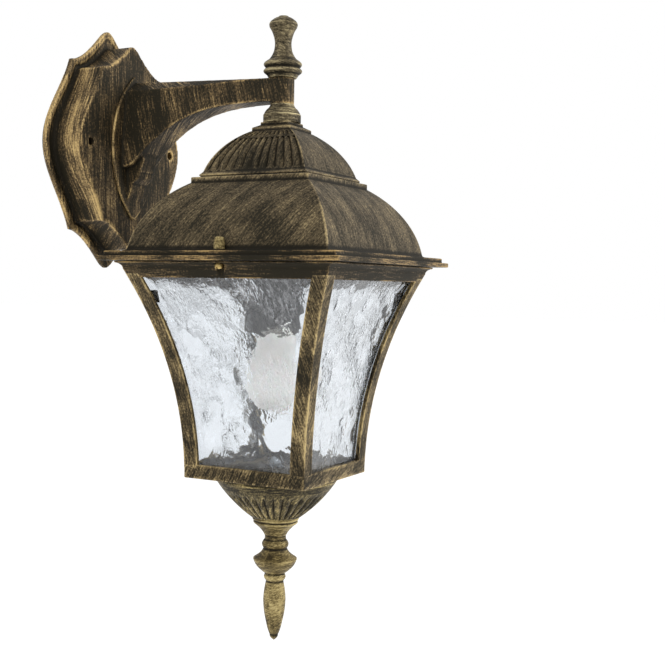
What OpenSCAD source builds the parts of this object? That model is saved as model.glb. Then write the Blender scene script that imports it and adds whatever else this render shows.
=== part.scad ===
// Outdoor wall lantern: a square glazed cage hung under a cast bracket arm on a cartouche wall plate.
// Origin on the wall, midway between the two wall screws; -Y points out from the wall, +Z is up.

/* [Wall plate] */
// Width of the flange that meets the wall
flange_w = 136; // [125:1:165]
// Height of the flange, tip to tip
flange_h = 173; // [160:1:200]
// Thickness of the flange
flange_t = 2.5; // [2:0.1:4]
// Height of the raised lip along the edge of the flange
flange_lip_h = 1.5; // [1:0.1:2]
// Width of that lip
flange_lip_w = 3.5; // [3:0.1:5]
// Width of the raised hollow body
body_w = 117; // [105:1:120]
// Height of the raised body, tip to tip
body_h = 147; // [135:1:150]
// Distance from the wall to the front face of the plate
plate_depth = 28; // [24:1:36]
// Wall thickness of the plate casting
plate_wall = 3; // [2.5:0.1:4]
// Distance between the two wall screw holes
screw_spacing = 94.5; // [84:0.5:98]
// Diameter of the wall screw holes
screw_hole_d = 5.5; // [4:0.1:6.5]
// Thickness of the rubber seal against the wall
wall_seal_t = 1.5; // [1:0.1:2.5]

/* [Arm] */
// Distance from the wall to the axis of the lantern
reach = 152; // [130:1:185]
// Width of the arm at its root
arm_root_w = 31; // [26:1:36]
// Width of the top of the arm
arm_top_w = 22; // [18:1:26]
// Outside diameter of the column at the end of the arm
column_d = 16; // [15:0.5:20]
// Height of the column
column_h = 17.5; // [15:0.5:22]
// Height of the crest of the arm above the wall screws, at the wall plate
arm_crest = 47.5; // [44:0.5:52]
// Depth of the arm at its root, measured down from the crest
arm_root_h = 60; // [50:1:66]
// Diameter of the wire channel through the arm
channel_d = 7.2; // [7:0.1:8]
// Distance between the two bolts that hold the arm
arm_bolt_spacing = 20; // [18:0.5:22]

/* [Roof] */
// Distance from the wall screws down to the rim of the roof
rim_drop = 80; // [76:1:96]
// Width of the rim
rim_w = 175; // [150:1:210]
// Thickness of the lower step of the rim
rim_t = 3; // [2.5:0.1:4]
// Height of the upper step of the rim
rim_step = 3.3; // [2.5:0.1:4.5]
// Set-back of the upper step of the rim
rim_setback = 3.6; // [2:0.1:5]
// Width of the square ogee roof where it leaves the rim
roof_base_w = 146.8; // [125:1:160]
// Width of the square ring that carries the fluted dome
ring_w = 87.6; // [76:1:104]
// Height of the underside of the ring above the rim
roof_h = 49.2; // [40:1:60]
// Height of the ring
ring_h = 3.8; // [3:0.1:5]
// Radius of the curved roof
roof_r = 65.1; // [62:0.1:90]
// Wall thickness of the roof casting
roof_wall = 2.6; // [2:0.1:3.5]

/* [Fluted dome] */
// Width of the dome at its foot
dome_w = 76.4; // [64:0.5:82]
// Width of the dome at its top
dome_top_w = 31; // [28:0.5:36]
// Height of the curved part of the dome
dome_h = 28.5; // [24:0.5:34]
// Radius of the curve of the dome
dome_r = 49.7; // [40:0.1:80]
// Number of flutes on the left face and on the right face of the dome
flutes = 12; // [8:1:16]
// Depth of the flutes
flute_depth = 0.8; // [0.4:0.1:1.2]

/* [Cage] */
// Width of the cage at its foot
cage_base_w = 90.4; // [80:1:108]
// Height from the foot of the cage to the rim
cage_h = 146.2; // [122:1:180]
// Width of the neck just under the cage's top flange
cage_neck_w = 150.4; // [140:1:152]
// Radius of the flared sides
cage_r = 332; // [300:1:420]
// Wall thickness of the cage casting
cage_wall = 3; // [2.5:0.1:4]
// Width of each corner post, measured on one side
post_w = 10.5; // [9:0.5:13]
// Height of the bottom rail
rail_h = 9.4; // [8:0.1:12]
// Thickness of the floor
floor_t = 3; // [2.5:0.1:4]
// Diameter of the two screws that hold the cage
cage_screw_d = 4; // [3.5:0.1:5]

/* [Glass] */
// Thickness of the rippled glass
glass_t = 3; // [2.5:0.1:4]

/* [Bowl and finials] */
// Outside radius of the bowl at its rim
bowl_r = 41.3; // [36:0.1:44]
// Height of the bowl
bowl_h = 28; // [24:1:34]
// Wall thickness of the bowl
bowl_wall = 2.5; // [2:0.1:3.5]
// Radius of the foot of the bowl
bowl_foot_r = 17; // [15:0.5:19]
// Height of the upright band at the bowl's rim
bowl_lip_h = 3; // [2:0.5:5]
// Radius of the outward sweep of the bowl's side
bowl_side_r = 95; // [60:5:160]
// Length of the drop finial
drop_l = 85.4; // [72:1:102]
// Height of the top finial
finial_h = 41.5; // [35:0.5:50]
// Height of the collar under the column
collar_h = 12.6; // [10:0.1:15]
// Diameter of the stud through the bowl
stud_d = 6; // [5:0.5:8]

/* [Tube, holder and lamp] */
// Outside diameter of the hollow threaded tube
tube_d = 10; // [10:0.1:10.4]
// Bore of the threaded tube
tube_bore = 7.5; // [7:0.1:8]
// Outside diameter of the lampholder
holder_d = 38; // [36:0.5:40]
// Depth of the holder's mouth below the rim
holder_drop = 47; // [40:1:52]
// Diameter of the lamp's cap over its thread
cap_d = 26.4; // [26:0.1:26.5]
// Diameter of the lamp's globe
globe_d = 45; // [38:1:50]
// Length of the lamp
lamp_l = 79; // [74:1:84]
// Diameter of each lead over its insulation
lead_d = 2.2; // [1.8:0.1:2.4]

/* [Fits] */
// Gap between pieces that move apart
move_gap = 0.3; // [0.2:0.05:0.5]
// Clearance round a piece that sits still in a hole or a recess
seat_gap = 0.1; // [0.05:0.05:0.3]
// Running clearance round the cage screws
screw_gap = 0.06; // [0.03:0.01:0.1]
// Clearance between the glass and the cage
glass_gap = 0.4; // [0.2:0.1:0.8]

/* [Hidden] */
$fn = 48;
eps = 0.01;
arc_n = 10;

// Colours of the finishes
bronze = "#3b2f20";
antique_gold = "#6b5432";
steel = "#b9bcc0";
brass = "#c9a04a";
rubber = "#1b1b1b";
porcelain = "#e9e6dc";
clear_glass = "#dfe8ee";
opal = "#f4f1ea";

// Wall plate outlines: half width, half height, then the shoulder's place
flange_shoulder = [41 + (flange_w - 136) / 2, 60 + (flange_h - 173) / 2];
body_shoulder = [34.5 + (body_w - 117) / 2, 54 + (body_h - 147) / 2];
shell_floor = plate_depth - plate_wall;
screw_boss_d = screw_hole_d + 5.5;

// Arm
foot_t = 2;
foot_half_w = 25.5;
foot_half_h = 52;
arm_start = plate_depth + foot_t;
column_top = -rim_drop + 121.5;
wire_z = column_top - 7.5;
bolt_mid_z = wire_z - 24;
arm_drop_power = 3.1;

// Levels of the lantern, measured from the rim
roof_top = roof_h + ring_h;
dome_foot = roof_top + 3.7;
dome_top = dome_foot + dome_h;
plinth_h = 6.3;
collar_seat = dome_top + plinth_h;
cage_top = -rim_t - move_gap;
cage_foot = -cage_h;
neck_z = cage_top - 4.9;
window_top = neck_z - 5.5;
window_foot = cage_foot + rail_h;
pane_top = window_top + 4.5;
pane_foot = cage_foot + floor_t + seat_gap;
bowl_top = cage_foot - seat_gap;
bowl_foot = bowl_top - bowl_h;
drop_top = bowl_foot - seat_gap;

// Cage screws stand just outside the neck of the cage
cage_flange_half = cage_neck_w / 2 + 4;
screw_x = cage_flange_half - 2.6;
screw_head_d = cage_screw_d + 1.6;
screw_head_h = 3;
screw_seat_z = cage_top - 1.5;
boss_d = 7;
boss_top = 12;

// Holder and lamp levels, measured from the rim
holder_h = 57;
holder_top = holder_h - holder_drop;
holder_cap_h = 22;
cap_skirt = holder_top - holder_cap_h;
insert_top = cap_skirt;
insert_h = 11;
shell_r = cap_d / 2 + move_gap;
lamp_tip = insert_top - insert_h - 1 - move_gap;
tube_foot = holder_top - 1;
tube_top = column_top + rim_drop + 8;

// ---- Curves -------------------------------------------------------------------------------

// Centre of the arc of radius r from p to q; side 1 or -1 picks the side it lies on
function arc_centre(p, q, r, side) =
  let (mid = (p + q) / 2, d = norm(q - p), u = (q - p) / d, h = sqrt(max(r * r - d * d / 4, 0)))
  mid + side * h * [-u[1], u[0]];

// Points from p to q along the arc of radius r
function arc_points(p, q, r, side = 1, n = arc_n) =
  let (
    c = arc_centre(p, q, r, side),
    rr = norm(p - c),
    a0 = atan2(p[1] - c[1], p[0] - c[0]),
    a1 = atan2(q[1] - c[1], q[0] - c[0]),
    turn = (a1 - a0) - 360 * round((a1 - a0) / 360)
  )
  [for (i = [0:n]) c + rr * [cos(a0 + turn * i / n), sin(a0 + turn * i / n)]];

// Points of a turned profile from [r0, z0] to [r1, z1] that swells outwards by bulge
function swell(p, q, bulge, n = 6) =
  [for (i = [0:n]) let (t = i / n) [p[0] + (q[0] - p[0]) * t + bulge * sin(180 * t), p[1] + (q[1] - p[1]) * t]];

// Half width of the outside of the cage at height z
cage_p = [cage_base_w / 2, cage_foot];
cage_q = [cage_neck_w / 2, neck_z];
cage_c = arc_centre(cage_p, cage_q, cage_r, -1);
cage_rr = norm(cage_p - cage_c);
function cage_half(z) = cage_c[0] - sqrt(max(cage_rr * cage_rr - (z - cage_c[1]) * (z - cage_c[1]), 0));
function cage_side(z0, z1, inset, n = arc_n) =
  [for (i = [0:n]) let (z = z0 + (z1 - z0) * i / n) [cage_half(z) - inset, z]];

// Share of the way from the tip to the shoulder, eased so that the tip is round
tip_round = 0.13;
function eased(u) = (sqrt(u * u + tip_round * tip_round) - tip_round) / (sqrt(1 + tip_round * tip_round) - tip_round);

// One quarter of the wall plate's cartouche: from its tip down to its widest point
function cartouche_quarter(half_w, half_h, shoulder, n = 12) = concat(
  [for (i = [0:n]) let (u = pow(i / n, 1.3))
    [shoulder[0] * u, shoulder[1] + (half_h - shoulder[1]) * pow(1 - eased(u), 1.7)]],
  [for (i = [1:n]) let (t = 1 - i / n)
    [shoulder[0] + (half_w - shoulder[0]) * (0.5 * cos(90 * t) + 0.25 * (1 + cos(180 * t))), shoulder[1] * t]]
);

// ---- Helper shapes ------------------------------------------------------------------------

// Moves lantern pieces from the lantern's own axis and rim level to their place
module at_lantern() translate([0, -reach, -rim_drop]) children();

// A square piece with the same outline seen from the front and from the side; points are [half width, z]
module square_form(points) {
  outline = concat(points, [for (i = [len(points) - 1:-1:0]) [-points[i][0], points[i][1]]]);
  span = 2 * max([for (p = points) p[0]]) + 10;
  intersection() {
    rotate([90, 0, 0]) linear_extrude(span, center = true) polygon(outline);
    rotate([90, 0, 90]) linear_extrude(span, center = true) polygon(outline);
  }
}

// A square slab of a given half width between two heights
module slab(half, z0, z1) translate([-half, -half, z0]) cube([2 * half, 2 * half, z1 - z0]);

// A turned piece from [r, z] points that start and end on the axis side
module turned(points) rotate_extrude($fn = 64) polygon(points);

// Wall plate outline as a slab that runs from the wall outwards, from y = -from to y = -to
module cartouche(half_w, half_h, shoulder, from, to) {
  q = cartouche_quarter(half_w, half_h, shoulder);
  m = len(q);
  outline = concat(
    q,
    [for (i = [m - 2:-1:0]) [q[i][0], -q[i][1]]],
    [for (i = [1:m - 1]) [-q[i][0], -q[i][1]]],
    [for (i = [m - 2:-1:1]) [-q[i][0], q[i][1]]]
  );
  translate([0, -from, 0]) rotate([90, 0, 0]) linear_extrude(to - from) polygon(outline);
}

module flange_slab(inset, from, to)
  cartouche(flange_w / 2 - inset, flange_h / 2 - 1.3 * inset, flange_shoulder - [inset, inset], from, to);

module body_slab(inset, from, to)
  cartouche(body_w / 2 - inset, body_h / 2 - 1.3 * inset, body_shoulder - [inset, inset], from, to);

// Cylinder along -Y from y = -from to y = -to
module bar_y(x, z, d, from, to) translate([x, -from, z]) rotate([90, 0, 0]) cylinder(d = d, h = to - from);

// Hexagonal prism along Z
module hexagon(across, h) cylinder(d = across / cos(30), h = h, $fn = 6);

// A round wire swept along a path that never runs parallel to X
module wire(path, d, sides = 8) {
  n = len(path);
  function unit(v) = v / norm(v);
  function along(i) = unit(path[min(i + 1, n - 1)] - path[max(i - 1, 0)]);
  rings = [for (i = [0:n - 1]) let (t = along(i), s = unit(cross([1, 0, 0], t)), u = cross(t, s))
    for (k = [0:sides - 1]) path[i] + d / 2 * (cos(360 * k / sides) * u + sin(360 * k / sides) * s)];
  skin = [for (i = [0:n - 2], k = [0:sides - 1]) let (a = i * sides + k, b = i * sides + (k + 1) % sides)
    [a, b, b + sides, a + sides]];
  polyhedron(rings, concat(
    [[for (k = [sides - 1:-1:0]) k]],
    skin,
    [[for (k = [0:sides - 1]) (n - 1) * sides + k]]
  ));
}

// ---- Wall side ----------------------------------------------------------------------------

screw_xs = [-screw_spacing / 2, screw_spacing / 2];
terminal_z = -24;
terminal_size = [29, 12, 17];
terminal_y = plate_depth - plate_wall - 4;
pole_pitch = 9;
earth_x = -24;
earth_z = 8;
boss_h = 6;

module wall_seal() {
  color(rubber) difference() {
    flange_slab(2, 0, wall_seal_t);
    flange_slab(7, -1, wall_seal_t + 1);
  }
}

module wall_plate() {
  back = wall_seal_t;
  color(bronze) difference() {
    union() {
      difference() {
        union() {
          flange_slab(0, back, back + flange_t);
          difference() {
            flange_slab(0, back, back + flange_t + flange_lip_h);
            flange_slab(flange_lip_w, back + flange_t, back + flange_t + flange_lip_h + 1);
          }
          body_slab(0, back, plate_depth);
        }
        body_slab(plate_wall, -1, shell_floor);
      }
      for (x = screw_xs) bar_y(x, 0, screw_boss_d, 0, plate_depth - 1);
      bar_y(pole_pitch / 2, terminal_z, 6, terminal_y, plate_depth - 1);
      bar_y(earth_x, earth_z, 8, shell_floor - boss_h, plate_depth - 1);
    }
    for (x = screw_xs) bar_y(x, 0, screw_hole_d, -1, plate_depth + 1);
    bar_y(0, wire_z, grommet_d - 3, 0, plate_depth + 1);
    for (z = bolt_zs) bar_y(0, z, bolt_d + 2 * seat_gap, 0, plate_depth + 1);
    bar_y(pole_pitch / 2, terminal_z, 2.9, 0, plate_depth - 1.5);
    bar_y(earth_x, earth_z, 3.9, 0, plate_depth - 1.5);
  }
}

bolt_d = 6;
bolt_zs = [bolt_mid_z + arm_bolt_spacing / 2, bolt_mid_z - arm_bolt_spacing / 2];
bolt_grip = plate_wall + foot_t + 14;
washer_t = 1;

module arm_bolts() {
  color(steel) for (z = bolt_zs) translate([0, -shell_floor + washer_t, z]) rotate([90, 0, 0]) {
    translate([0, 0, -4]) hexagon(10, 4);
    cylinder(d = bolt_d, h = bolt_grip);
  }
}

module arm_bolt_washers() {
  color(steel) for (z = bolt_zs) difference() {
    bar_y(0, z, 12, shell_floor - washer_t, shell_floor);
    bar_y(0, z, bolt_d + 2 * seat_gap, shell_floor - 2, shell_floor + 1);
  }
}

grommet_d = 12;
module arm_grommet() {
  color(rubber) difference() {
    union() {
      bar_y(0, wire_z, grommet_d, shell_floor - 1.5, shell_floor);
      bar_y(0, wire_z, grommet_d - 3, shell_floor, plate_depth);
    }
    bar_y(0, wire_z, 6.6, 0, plate_depth + 1);
  }
}

module terminal_block() {
  color(porcelain) difference() {
    translate([-terminal_size[0] / 2, -terminal_y, terminal_z - terminal_size[2] / 2]) cube(terminal_size);
    for (i = [-1:1]) {
      translate([i * pole_pitch, -terminal_y + 6, terminal_z - 10]) cylinder(d = 5, h = 20);
      for (dz = [-5, 5]) bar_y(i * pole_pitch, terminal_z + dz, 3.6, 0, terminal_y - 6);
    }
    bar_y(pole_pitch / 2, terminal_z, 3.2, 0, plate_depth);
  }
}

module terminal_tubes() {
  color(brass) for (i = [-1:1]) translate([i * pole_pitch, -terminal_y + 6, terminal_z - 7]) difference() {
    cylinder(d = 5 - 2 * seat_gap, h = 14);
    translate([0, 0, -1]) cylinder(d = 3, h = 16);
    for (dz = [2, 12]) translate([0, 0, dz]) rotate([-90, 0, 0]) cylinder(d = 2.5, h = 5);
  }
}

module terminal_screws() {
  color(steel) for (i = [-1:1], dz = [-5, 5])
    translate([i * pole_pitch, -terminal_y + 7.6, terminal_z + dz]) rotate([-90, 0, 0]) difference() {
      union() {
        cylinder(d = 2.3, h = 3);
        translate([0, 0, 1.4]) cylinder(d = 3.3, h = 2.6);
      }
      translate([-2, -0.3, 3.2]) cube([4, 0.6, 2]);
    }
}

module terminal_fixing_screw() {
  front = terminal_y - terminal_size[1];
  color(steel) difference() {
    union() {
      bar_y(pole_pitch / 2, terminal_z, 2.9 - 2 * seat_gap, front, terminal_y + 5);
      bar_y(pole_pitch / 2, terminal_z, 5.2, front - 2, front);
    }
    translate([pole_pitch / 2 - 3, -front + 1.2, terminal_z - 0.4]) cube([6, 2, 0.8]);
  }
}

earth_seat = shell_floor - boss_h;
module earth_ring() {
  color(brass) difference() {
    union() {
      bar_y(earth_x, earth_z, 8, earth_seat - 1, earth_seat);
      translate([earth_x - 2, -earth_seat, earth_z - 12]) cube([4, 1, 10]);
    }
    bar_y(earth_x, earth_z, 4.2, 0, plate_depth);
  }
}

module earth_screw() {
  color(brass) difference() {
    union() {
      bar_y(earth_x, earth_z, 3.9 - 2 * seat_gap, earth_seat - 1, earth_seat + 6);
      bar_y(earth_x, earth_z, 7, earth_seat - 3.6, earth_seat - 1);
    }
    translate([earth_x - 4, -earth_seat + 2.4, earth_z - 0.5]) cube([8, 2, 1]);
  }
}

// Inside the plate, each lead rises from its terminal, passes beside the bolt heads and turns into the arm
pole_y = -terminal_y + 6;
pole_top = terminal_z + 7.2;
lead_x = 1.35;

// Route of the lead on one side; side is -1 or 1
function lead_route(side) = concat(
  [
    [side * pole_pitch, pole_y, pole_top], [side * pole_pitch, pole_y, pole_top + 8],
    [side * 9, pole_y + 1, 0], [side * 8.6, pole_y + 2, 12], [side * 7, pole_y + 2.5, 24],
    [side * 3.4, pole_y + 2, wire_z - 1.5], [side * 1.6, pole_y - 3, wire_z], [side * lead_x, -plate_depth, wire_z]
  ],
  [for (i = [1:4]) [side * lead_x, -plate_depth - (reach - plate_depth - 8) * i / 4, wire_z]],
  [for (i = [1:4]) [side * lead_x, -reach + 5 * (1 - sin(22.5 * i)), wire_z - 5 * (1 - cos(22.5 * i))]],
  [
    [side * lead_x, -reach, wire_z - 20], [side * lead_x, -reach, -rim_drop + roof_top],
    [side * lead_x, -reach, -rim_drop + tube_foot], [side * 2.2, -reach, -rim_drop + tube_foot - 3],
    [side * 6.5, -reach, -rim_drop + insert_top + 11], [side * contact_x, -reach, -rim_drop + insert_top + 6.2]
  ]
);
contact_x = 8;

module live_wire() color("#7a4a2a") wire(lead_route(-1), lead_d);
module neutral_wire() color("#2f5fa8") wire(lead_route(1), lead_d);

module earth_wire() {
  color("#7fae3a") wire([
    [0, pole_y, pole_top], [0, pole_y, pole_top + 4], [-3, pole_y + 3, pole_top + 7],
    [-10, pole_y + 7, pole_top + 8], [-17, pole_y + 7, pole_top + 6], [-22, pole_y + 5, pole_top + 9],
    [earth_x, -earth_seat + 2.2, earth_z - 11], [earth_x, -earth_seat + 2.2, earth_z - 6]
  ], lead_d);
}

// ---- Arm ----------------------------------------------------------------------------------

// Underside of the arm: nearly level at the column, then falling faster towards the plate
arm_under_top = column_top - column_h + 1.7;
arm_under_foot = arm_crest - arm_root_h;
arm_run = reach - 8 - 38;
function arm_under(y) = arm_under_top - (arm_under_top - arm_under_foot)
  * pow(max(reach - 8 - y, 0) / arm_run, arm_drop_power);

module arm_bracket() {
  end_z = column_top - 0.2;
  crest_end = column_d;
  under = [for (i = [0:14]) let (y = reach - 8 - arm_run * i / 14) [-y, arm_under(y)]];
  side = concat(
    [[-plate_depth - 1, arm_crest], [-reach + crest_end, end_z], [-reach, end_z], [-reach, arm_under_top]],
    under,
    [[-arm_start + 1, arm_under_foot - 3], [-plate_depth - 1, arm_under_foot - 3]]
  );
  half_root = arm_root_w / 2;
  half_top = arm_top_w / 2;
  eave = arm_crest - 8;
  low = arm_under_foot - 40;
  section = [[0, arm_crest + eps], [half_top, eave], [half_root, 0], [half_root, low],
    [-half_root, low], [-half_root, 0], [-half_top, eave]];
  half_end = column_d / 2 - 0.5;
  plan = [[half_root, -plate_depth], [half_root - 3, -plate_depth - 40], [half_end, -reach],
    [-half_end, -reach], [-half_root + 3, -plate_depth - 40], [-half_root, -plate_depth]];
  color(bronze) difference() {
    union() {
      intersection() {
        rotate([90, 0, 90]) linear_extrude(arm_root_w + 2, center = true) polygon(side);
        rotate([90, 0, 0]) linear_extrude(reach + 20) polygon(section);
        translate([0, 0, low]) linear_extrude(arm_crest - low + 1) polygon(plan);
      }
      arm_foot();
      arm_tail();
      translate([0, -reach, column_top - column_h]) cylinder(d = column_d, h = column_h);
    }
    translate([0, -reach, column_top - column_h - 1]) cylinder(d = tube_d + 2 * seat_gap, h = column_h + 2);
    bar_y(0, wire_z, channel_d, plate_depth - 1, reach);
    for (z = bolt_zs) bar_y(0, z, bolt_d + 2 * seat_gap, plate_depth - 1, plate_depth + foot_t + 14.5);
  }
}

// Pointed oval pad between the arm and the plate
module arm_foot() {
  r = (foot_half_h * foot_half_h + foot_half_w * foot_half_w) / (2 * foot_half_w);
  translate([0, -plate_depth, 0]) rotate([90, 0, 0]) linear_extrude(foot_t) intersection() {
    translate([foot_half_w - r, 0]) circle(r, $fn = 96);
    translate([r - foot_half_w, 0]) circle(r, $fn = 96);
  }
}

// Two scrolled steps under the root of the arm
module arm_tail() {
  step_1 = [-arm_start - 11.5, arm_under_foot - 5];
  step_2 = [-arm_start - 5.5, arm_under_foot - 13];
  outline = concat(
    [[-plate_depth - 1, arm_under_foot + 6], [-arm_start - 14, arm_under_foot + 6]],
    arc_points([-arm_start - 14, arm_under_foot + 2], step_1, 9, -1, 4),
    arc_points(step_1 + [1, 0], step_2, 9, 1, 4),
    arc_points(step_2 + [1.2, 0], [-plate_depth - 1, arm_under_foot - 27], 26, 1, 6)
  );
  rotate([90, 0, 90]) linear_extrude(18, center = true) polygon(outline);
}

// ---- Column stack -------------------------------------------------------------------------

module threaded_tube() {
  slot_h = 12;
  color(steel) at_lantern() difference() {
    translate([0, 0, tube_foot]) cylinder(d = tube_d, h = tube_top - tube_foot);
    translate([0, 0, tube_foot - 1]) cylinder(d = tube_bore, h = tube_top - tube_foot + 2);
    translate([-3.2, 0, wire_z + rim_drop - 8]) cube([6.4, tube_d, slot_h]);
  }
}

module top_finial() {
  h = finial_h;
  tip = h - 1.4;
  stem = concat(
    swell([9.4, 0], [10.8, 2.3], 0),
    swell([10.9, 2.4], [11.4, 6.6], 1.9),
    swell([11.5, 7], [10, 12], 2.1),
    swell([9.1, 12.7], [6.2, 18], -0.3),
    swell([6.2, 18], [6.8, h - 12.3], -0.9),
    swell([6.8, h - 12.3], [9, h - 8], -0.2),
    swell([9.2, h - 7.6], [5.4, tip], 1.9)
  );
  color(bronze) translate([0, -reach, column_top]) difference() {
    union() {
      turned(concat([[0, 0]], stem, [[0, tip]]));
      translate([0, 0, tip - 0.5]) cylinder(r = 3.4, h = 1.9);
    }
    translate([0, 0, -1]) cylinder(d = tube_d + 2 * seat_gap, h = 10);
  }
}

module lower_collar() {
  foot_r = 12.7;
  side = concat(
    [[foot_r, 0], [foot_r, 5.4]],
    swell([12.2, 6], [10.2, collar_h - 3.4], 0.2),
    swell([9.6, collar_h - 3], [column_d / 2, collar_h - seat_gap], -0.3)
  );
  color(bronze) at_lantern() translate([0, 0, collar_seat]) difference() {
    turned(concat([[0, 0]], side, [[0, collar_h - seat_gap]]));
    translate([0, 0, -1]) cylinder(d = tube_d + 2 * seat_gap, h = collar_h + 2);
  }
}

module fluted_dome() {
  foot_half = ring_w / 2 - 3.8;
  low = [dome_w / 2, dome_foot];
  high = [dome_top_w / 2, dome_top];
  base = roof_top + dome_seal_t;
  skin = function (inset) concat(
    [[foot_half - inset, base], [foot_half - inset, base + 0.9], [low[0] + 0.9 - inset, low[1] - 0.9]],
    [for (p = arc_points(low, high, dome_r, 1)) p - [inset, inset * 0.4]]
  );
  color(bronze) at_lantern() difference() {
    union() {
      square_form(skin(flute_depth));
      intersection() {
        square_form(skin(0));
        ribs(foot_half + 6, base, dome_top);
      }
      slab(dome_top_w / 2 - 0.6, dome_top - 1.5, dome_top + 2.2);
      square_form([[dome_top_w / 2 - 0.6, dome_top + 2.2], [10.7, dome_top + 4.4], [10.7, collar_seat]]);
    }
    square_form([for (p = skin(roof_wall + flute_depth)) [p[0], p[1] - (p[1] > dome_foot ? 1.8 : 0.1)]]);
    translate([0, 0, dome_top - 8]) cylinder(d = tube_d + 2 * seat_gap, h = 20);
  }
}

// Thin wedges that fan out over the left and right faces, with one on each corner; the front and back are whole
module ribs(reach_out, z0, z1) {
  half_rib = 0.36 / flutes * 2;
  translate([0, 0, z0 - 1]) {
    for (turn = [90, 270]) rotate(turn) linear_extrude(z1 - z0 + 2)
      polygon([[0, 0], reach_out * [1, -1], reach_out * [1, 1]]);
    for (turn = [0, 180], i = [0:flutes]) {
      mid = -1 + 2 * i / flutes;
      rotate(turn) linear_extrude(z1 - z0 + 2)
        polygon([[0, 0], reach_out * [1, mid - half_rib], reach_out * [1, mid + half_rib]]);
    }
  }
}

dome_seal_t = 0.8;
module dome_seal() {
  outer = ring_w / 2 - 4.6;
  color(rubber) at_lantern() difference() {
    slab(outer, roof_top, roof_top + dome_seal_t);
    slab(outer - 3.5, roof_top - 1, roof_top + dome_seal_t + 1);
  }
}

module roof() {
  half = rim_w / 2;
  base = [roof_base_w / 2, rim_step + 1.8];
  ring = [ring_w / 2, roof_h];
  curve = arc_points(base, ring, roof_r, 1);
  inside = arc_points(base - [roof_wall, 0], ring - [roof_wall, roof_wall], roof_r - roof_wall, 1);
  web = roof_top - 3;
  color(bronze) at_lantern() difference() {
    union() {
      square_form(concat([[half, -rim_t], [half, 0]],
        [[half - rim_setback, 0], [half - rim_setback, rim_step]], curve, [[ring[0], roof_top]]));
      for (turn = [0, 180]) rotate(turn) screw_boss();
    }
    square_form(concat([[base[0] - roof_wall - 2, -rim_t - 1], [base[0] - roof_wall - 2, 0]], inside,
      [[ring[0] - roof_wall - 3, web]]));
    for (x = [-screw_x, screw_x]) translate([x, 0, -rim_t - 1])
      cylinder(d = cage_screw_d + 2 * move_gap, h = rim_t + 11);
    translate([0, 0, web - 1]) cylinder(d = tube_d + 2 * seat_gap, h = 10);
  }
}

// Bump on the side of the roof that takes a cage screw
module screw_boss() {
  shoulder = boss_top - 2.5;
  translate([screw_x, 0, 0]) {
    cylinder(d = boss_d, h = shoulder);
    translate([0, 0, shoulder]) cylinder(d1 = boss_d, d2 = boss_d - 3, h = boss_top - shoulder);
    translate([-6.5, -boss_d / 2, 0]) cube([6.5, boss_d, shoulder]);
  }
}

module tube_washer() {
  color(steel) at_lantern() translate([0, 0, roof_top - 4.2]) difference() {
    cylinder(d = 19, h = 1.2);
    translate([0, 0, -1]) cylinder(d = tube_d + 2 * seat_gap, h = 4);
  }
}

module tube_nut() {
  color(steel) at_lantern() translate([0, 0, roof_top - 8.2]) difference() {
    hexagon(15, 4);
    translate([0, 0, -1]) cylinder(d = tube_d + 2 * seat_gap, h = 6);
  }
}

// ---- Lampholder and lamp --------------------------------------------------------------------

holder_r = holder_d / 2;
holder_wall = 2;

module holder_cap() {
  skirt = cap_skirt;
  outer = concat([[holder_r + 0.6, skirt], [holder_r + 0.6, skirt + 11]],
    arc_points([holder_r + 0.4, skirt + 12], [8, holder_top], 16, 1), [[8, holder_top + 9]]);
  color(rubber) at_lantern() difference() {
    turned(concat([[0, skirt]], outer, [[0, holder_top + 9]]));
    translate([0, 0, skirt - 1]) cylinder(r = holder_r - holder_wall + 1, h = 13);
    translate([0, 0, skirt + 11]) cylinder(r1 = holder_r - holder_wall + 1, r2 = 7, h = 8.5);
    translate([0, 0, skirt]) cylinder(d = tube_d - 1.6, h = 40);
    translate([0, 0, tube_foot]) cylinder(d = tube_d + 2 * seat_gap, h = 20);
  }
}

module holder_body() {
  skirt = cap_skirt;
  color(rubber) at_lantern() difference() {
    union() {
      translate([0, 0, -holder_drop]) cylinder(r = holder_r, h = skirt - seat_gap + holder_drop);
      translate([0, 0, skirt - 1]) cylinder(r = holder_r - holder_wall + 1 - seat_gap, h = 7);
    }
    translate([0, 0, -holder_drop - 1]) cylinder(r = holder_r - holder_wall - 1, h = holder_drop + 20);
  }
}

module holder_ring() {
  color(rubber) at_lantern() translate([0, 0, -holder_drop + 9]) difference() {
    union() {
      cylinder(r = holder_r + 2.2, h = 7);
      cylinder(r = holder_r + 4, h = 2.2);
    }
    translate([0, 0, -1]) cylinder(r = holder_r + seat_gap, h = 9);
  }
}

module holder_insert() {
  color(porcelain) at_lantern() translate([0, 0, insert_top - insert_h]) difference() {
    cylinder(r = holder_r - holder_wall - 1 - seat_gap, h = insert_h);
    for (x = [-contact_x, contact_x]) translate([x, 0, 4]) cylinder(d = 3, h = insert_h);
    translate([0, 0, -1]) cylinder(d = 2.6, h = insert_h + 2);
  }
}

module holder_shell() {
  foot = -holder_drop + 3;
  color(brass) at_lantern() translate([0, 0, foot]) difference() {
    cylinder(r = shell_r + 0.5, h = insert_top - insert_h - foot);
    translate([0, 0, -1]) cylinder(r = shell_r, h = 60);
  }
}

module holder_contact() {
  color(brass) at_lantern() translate([0, 0, insert_top - insert_h]) {
    translate([0, 0, -1]) cylinder(d = 7, h = 1);
    cylinder(d = 2.4, h = insert_h + 2);
    translate([0, 0, insert_h]) cylinder(d = 5, h = 2);
  }
}

module holder_screws() {
  color(brass) at_lantern() for (x = [-contact_x, contact_x]) translate([x, 0, insert_top - insert_h + 4]) {
    cylinder(d = 3 - 2 * seat_gap, h = insert_h);
    translate([0, 0, insert_h - 4]) cylinder(d = 6, h = 5.5);
  }
}

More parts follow.
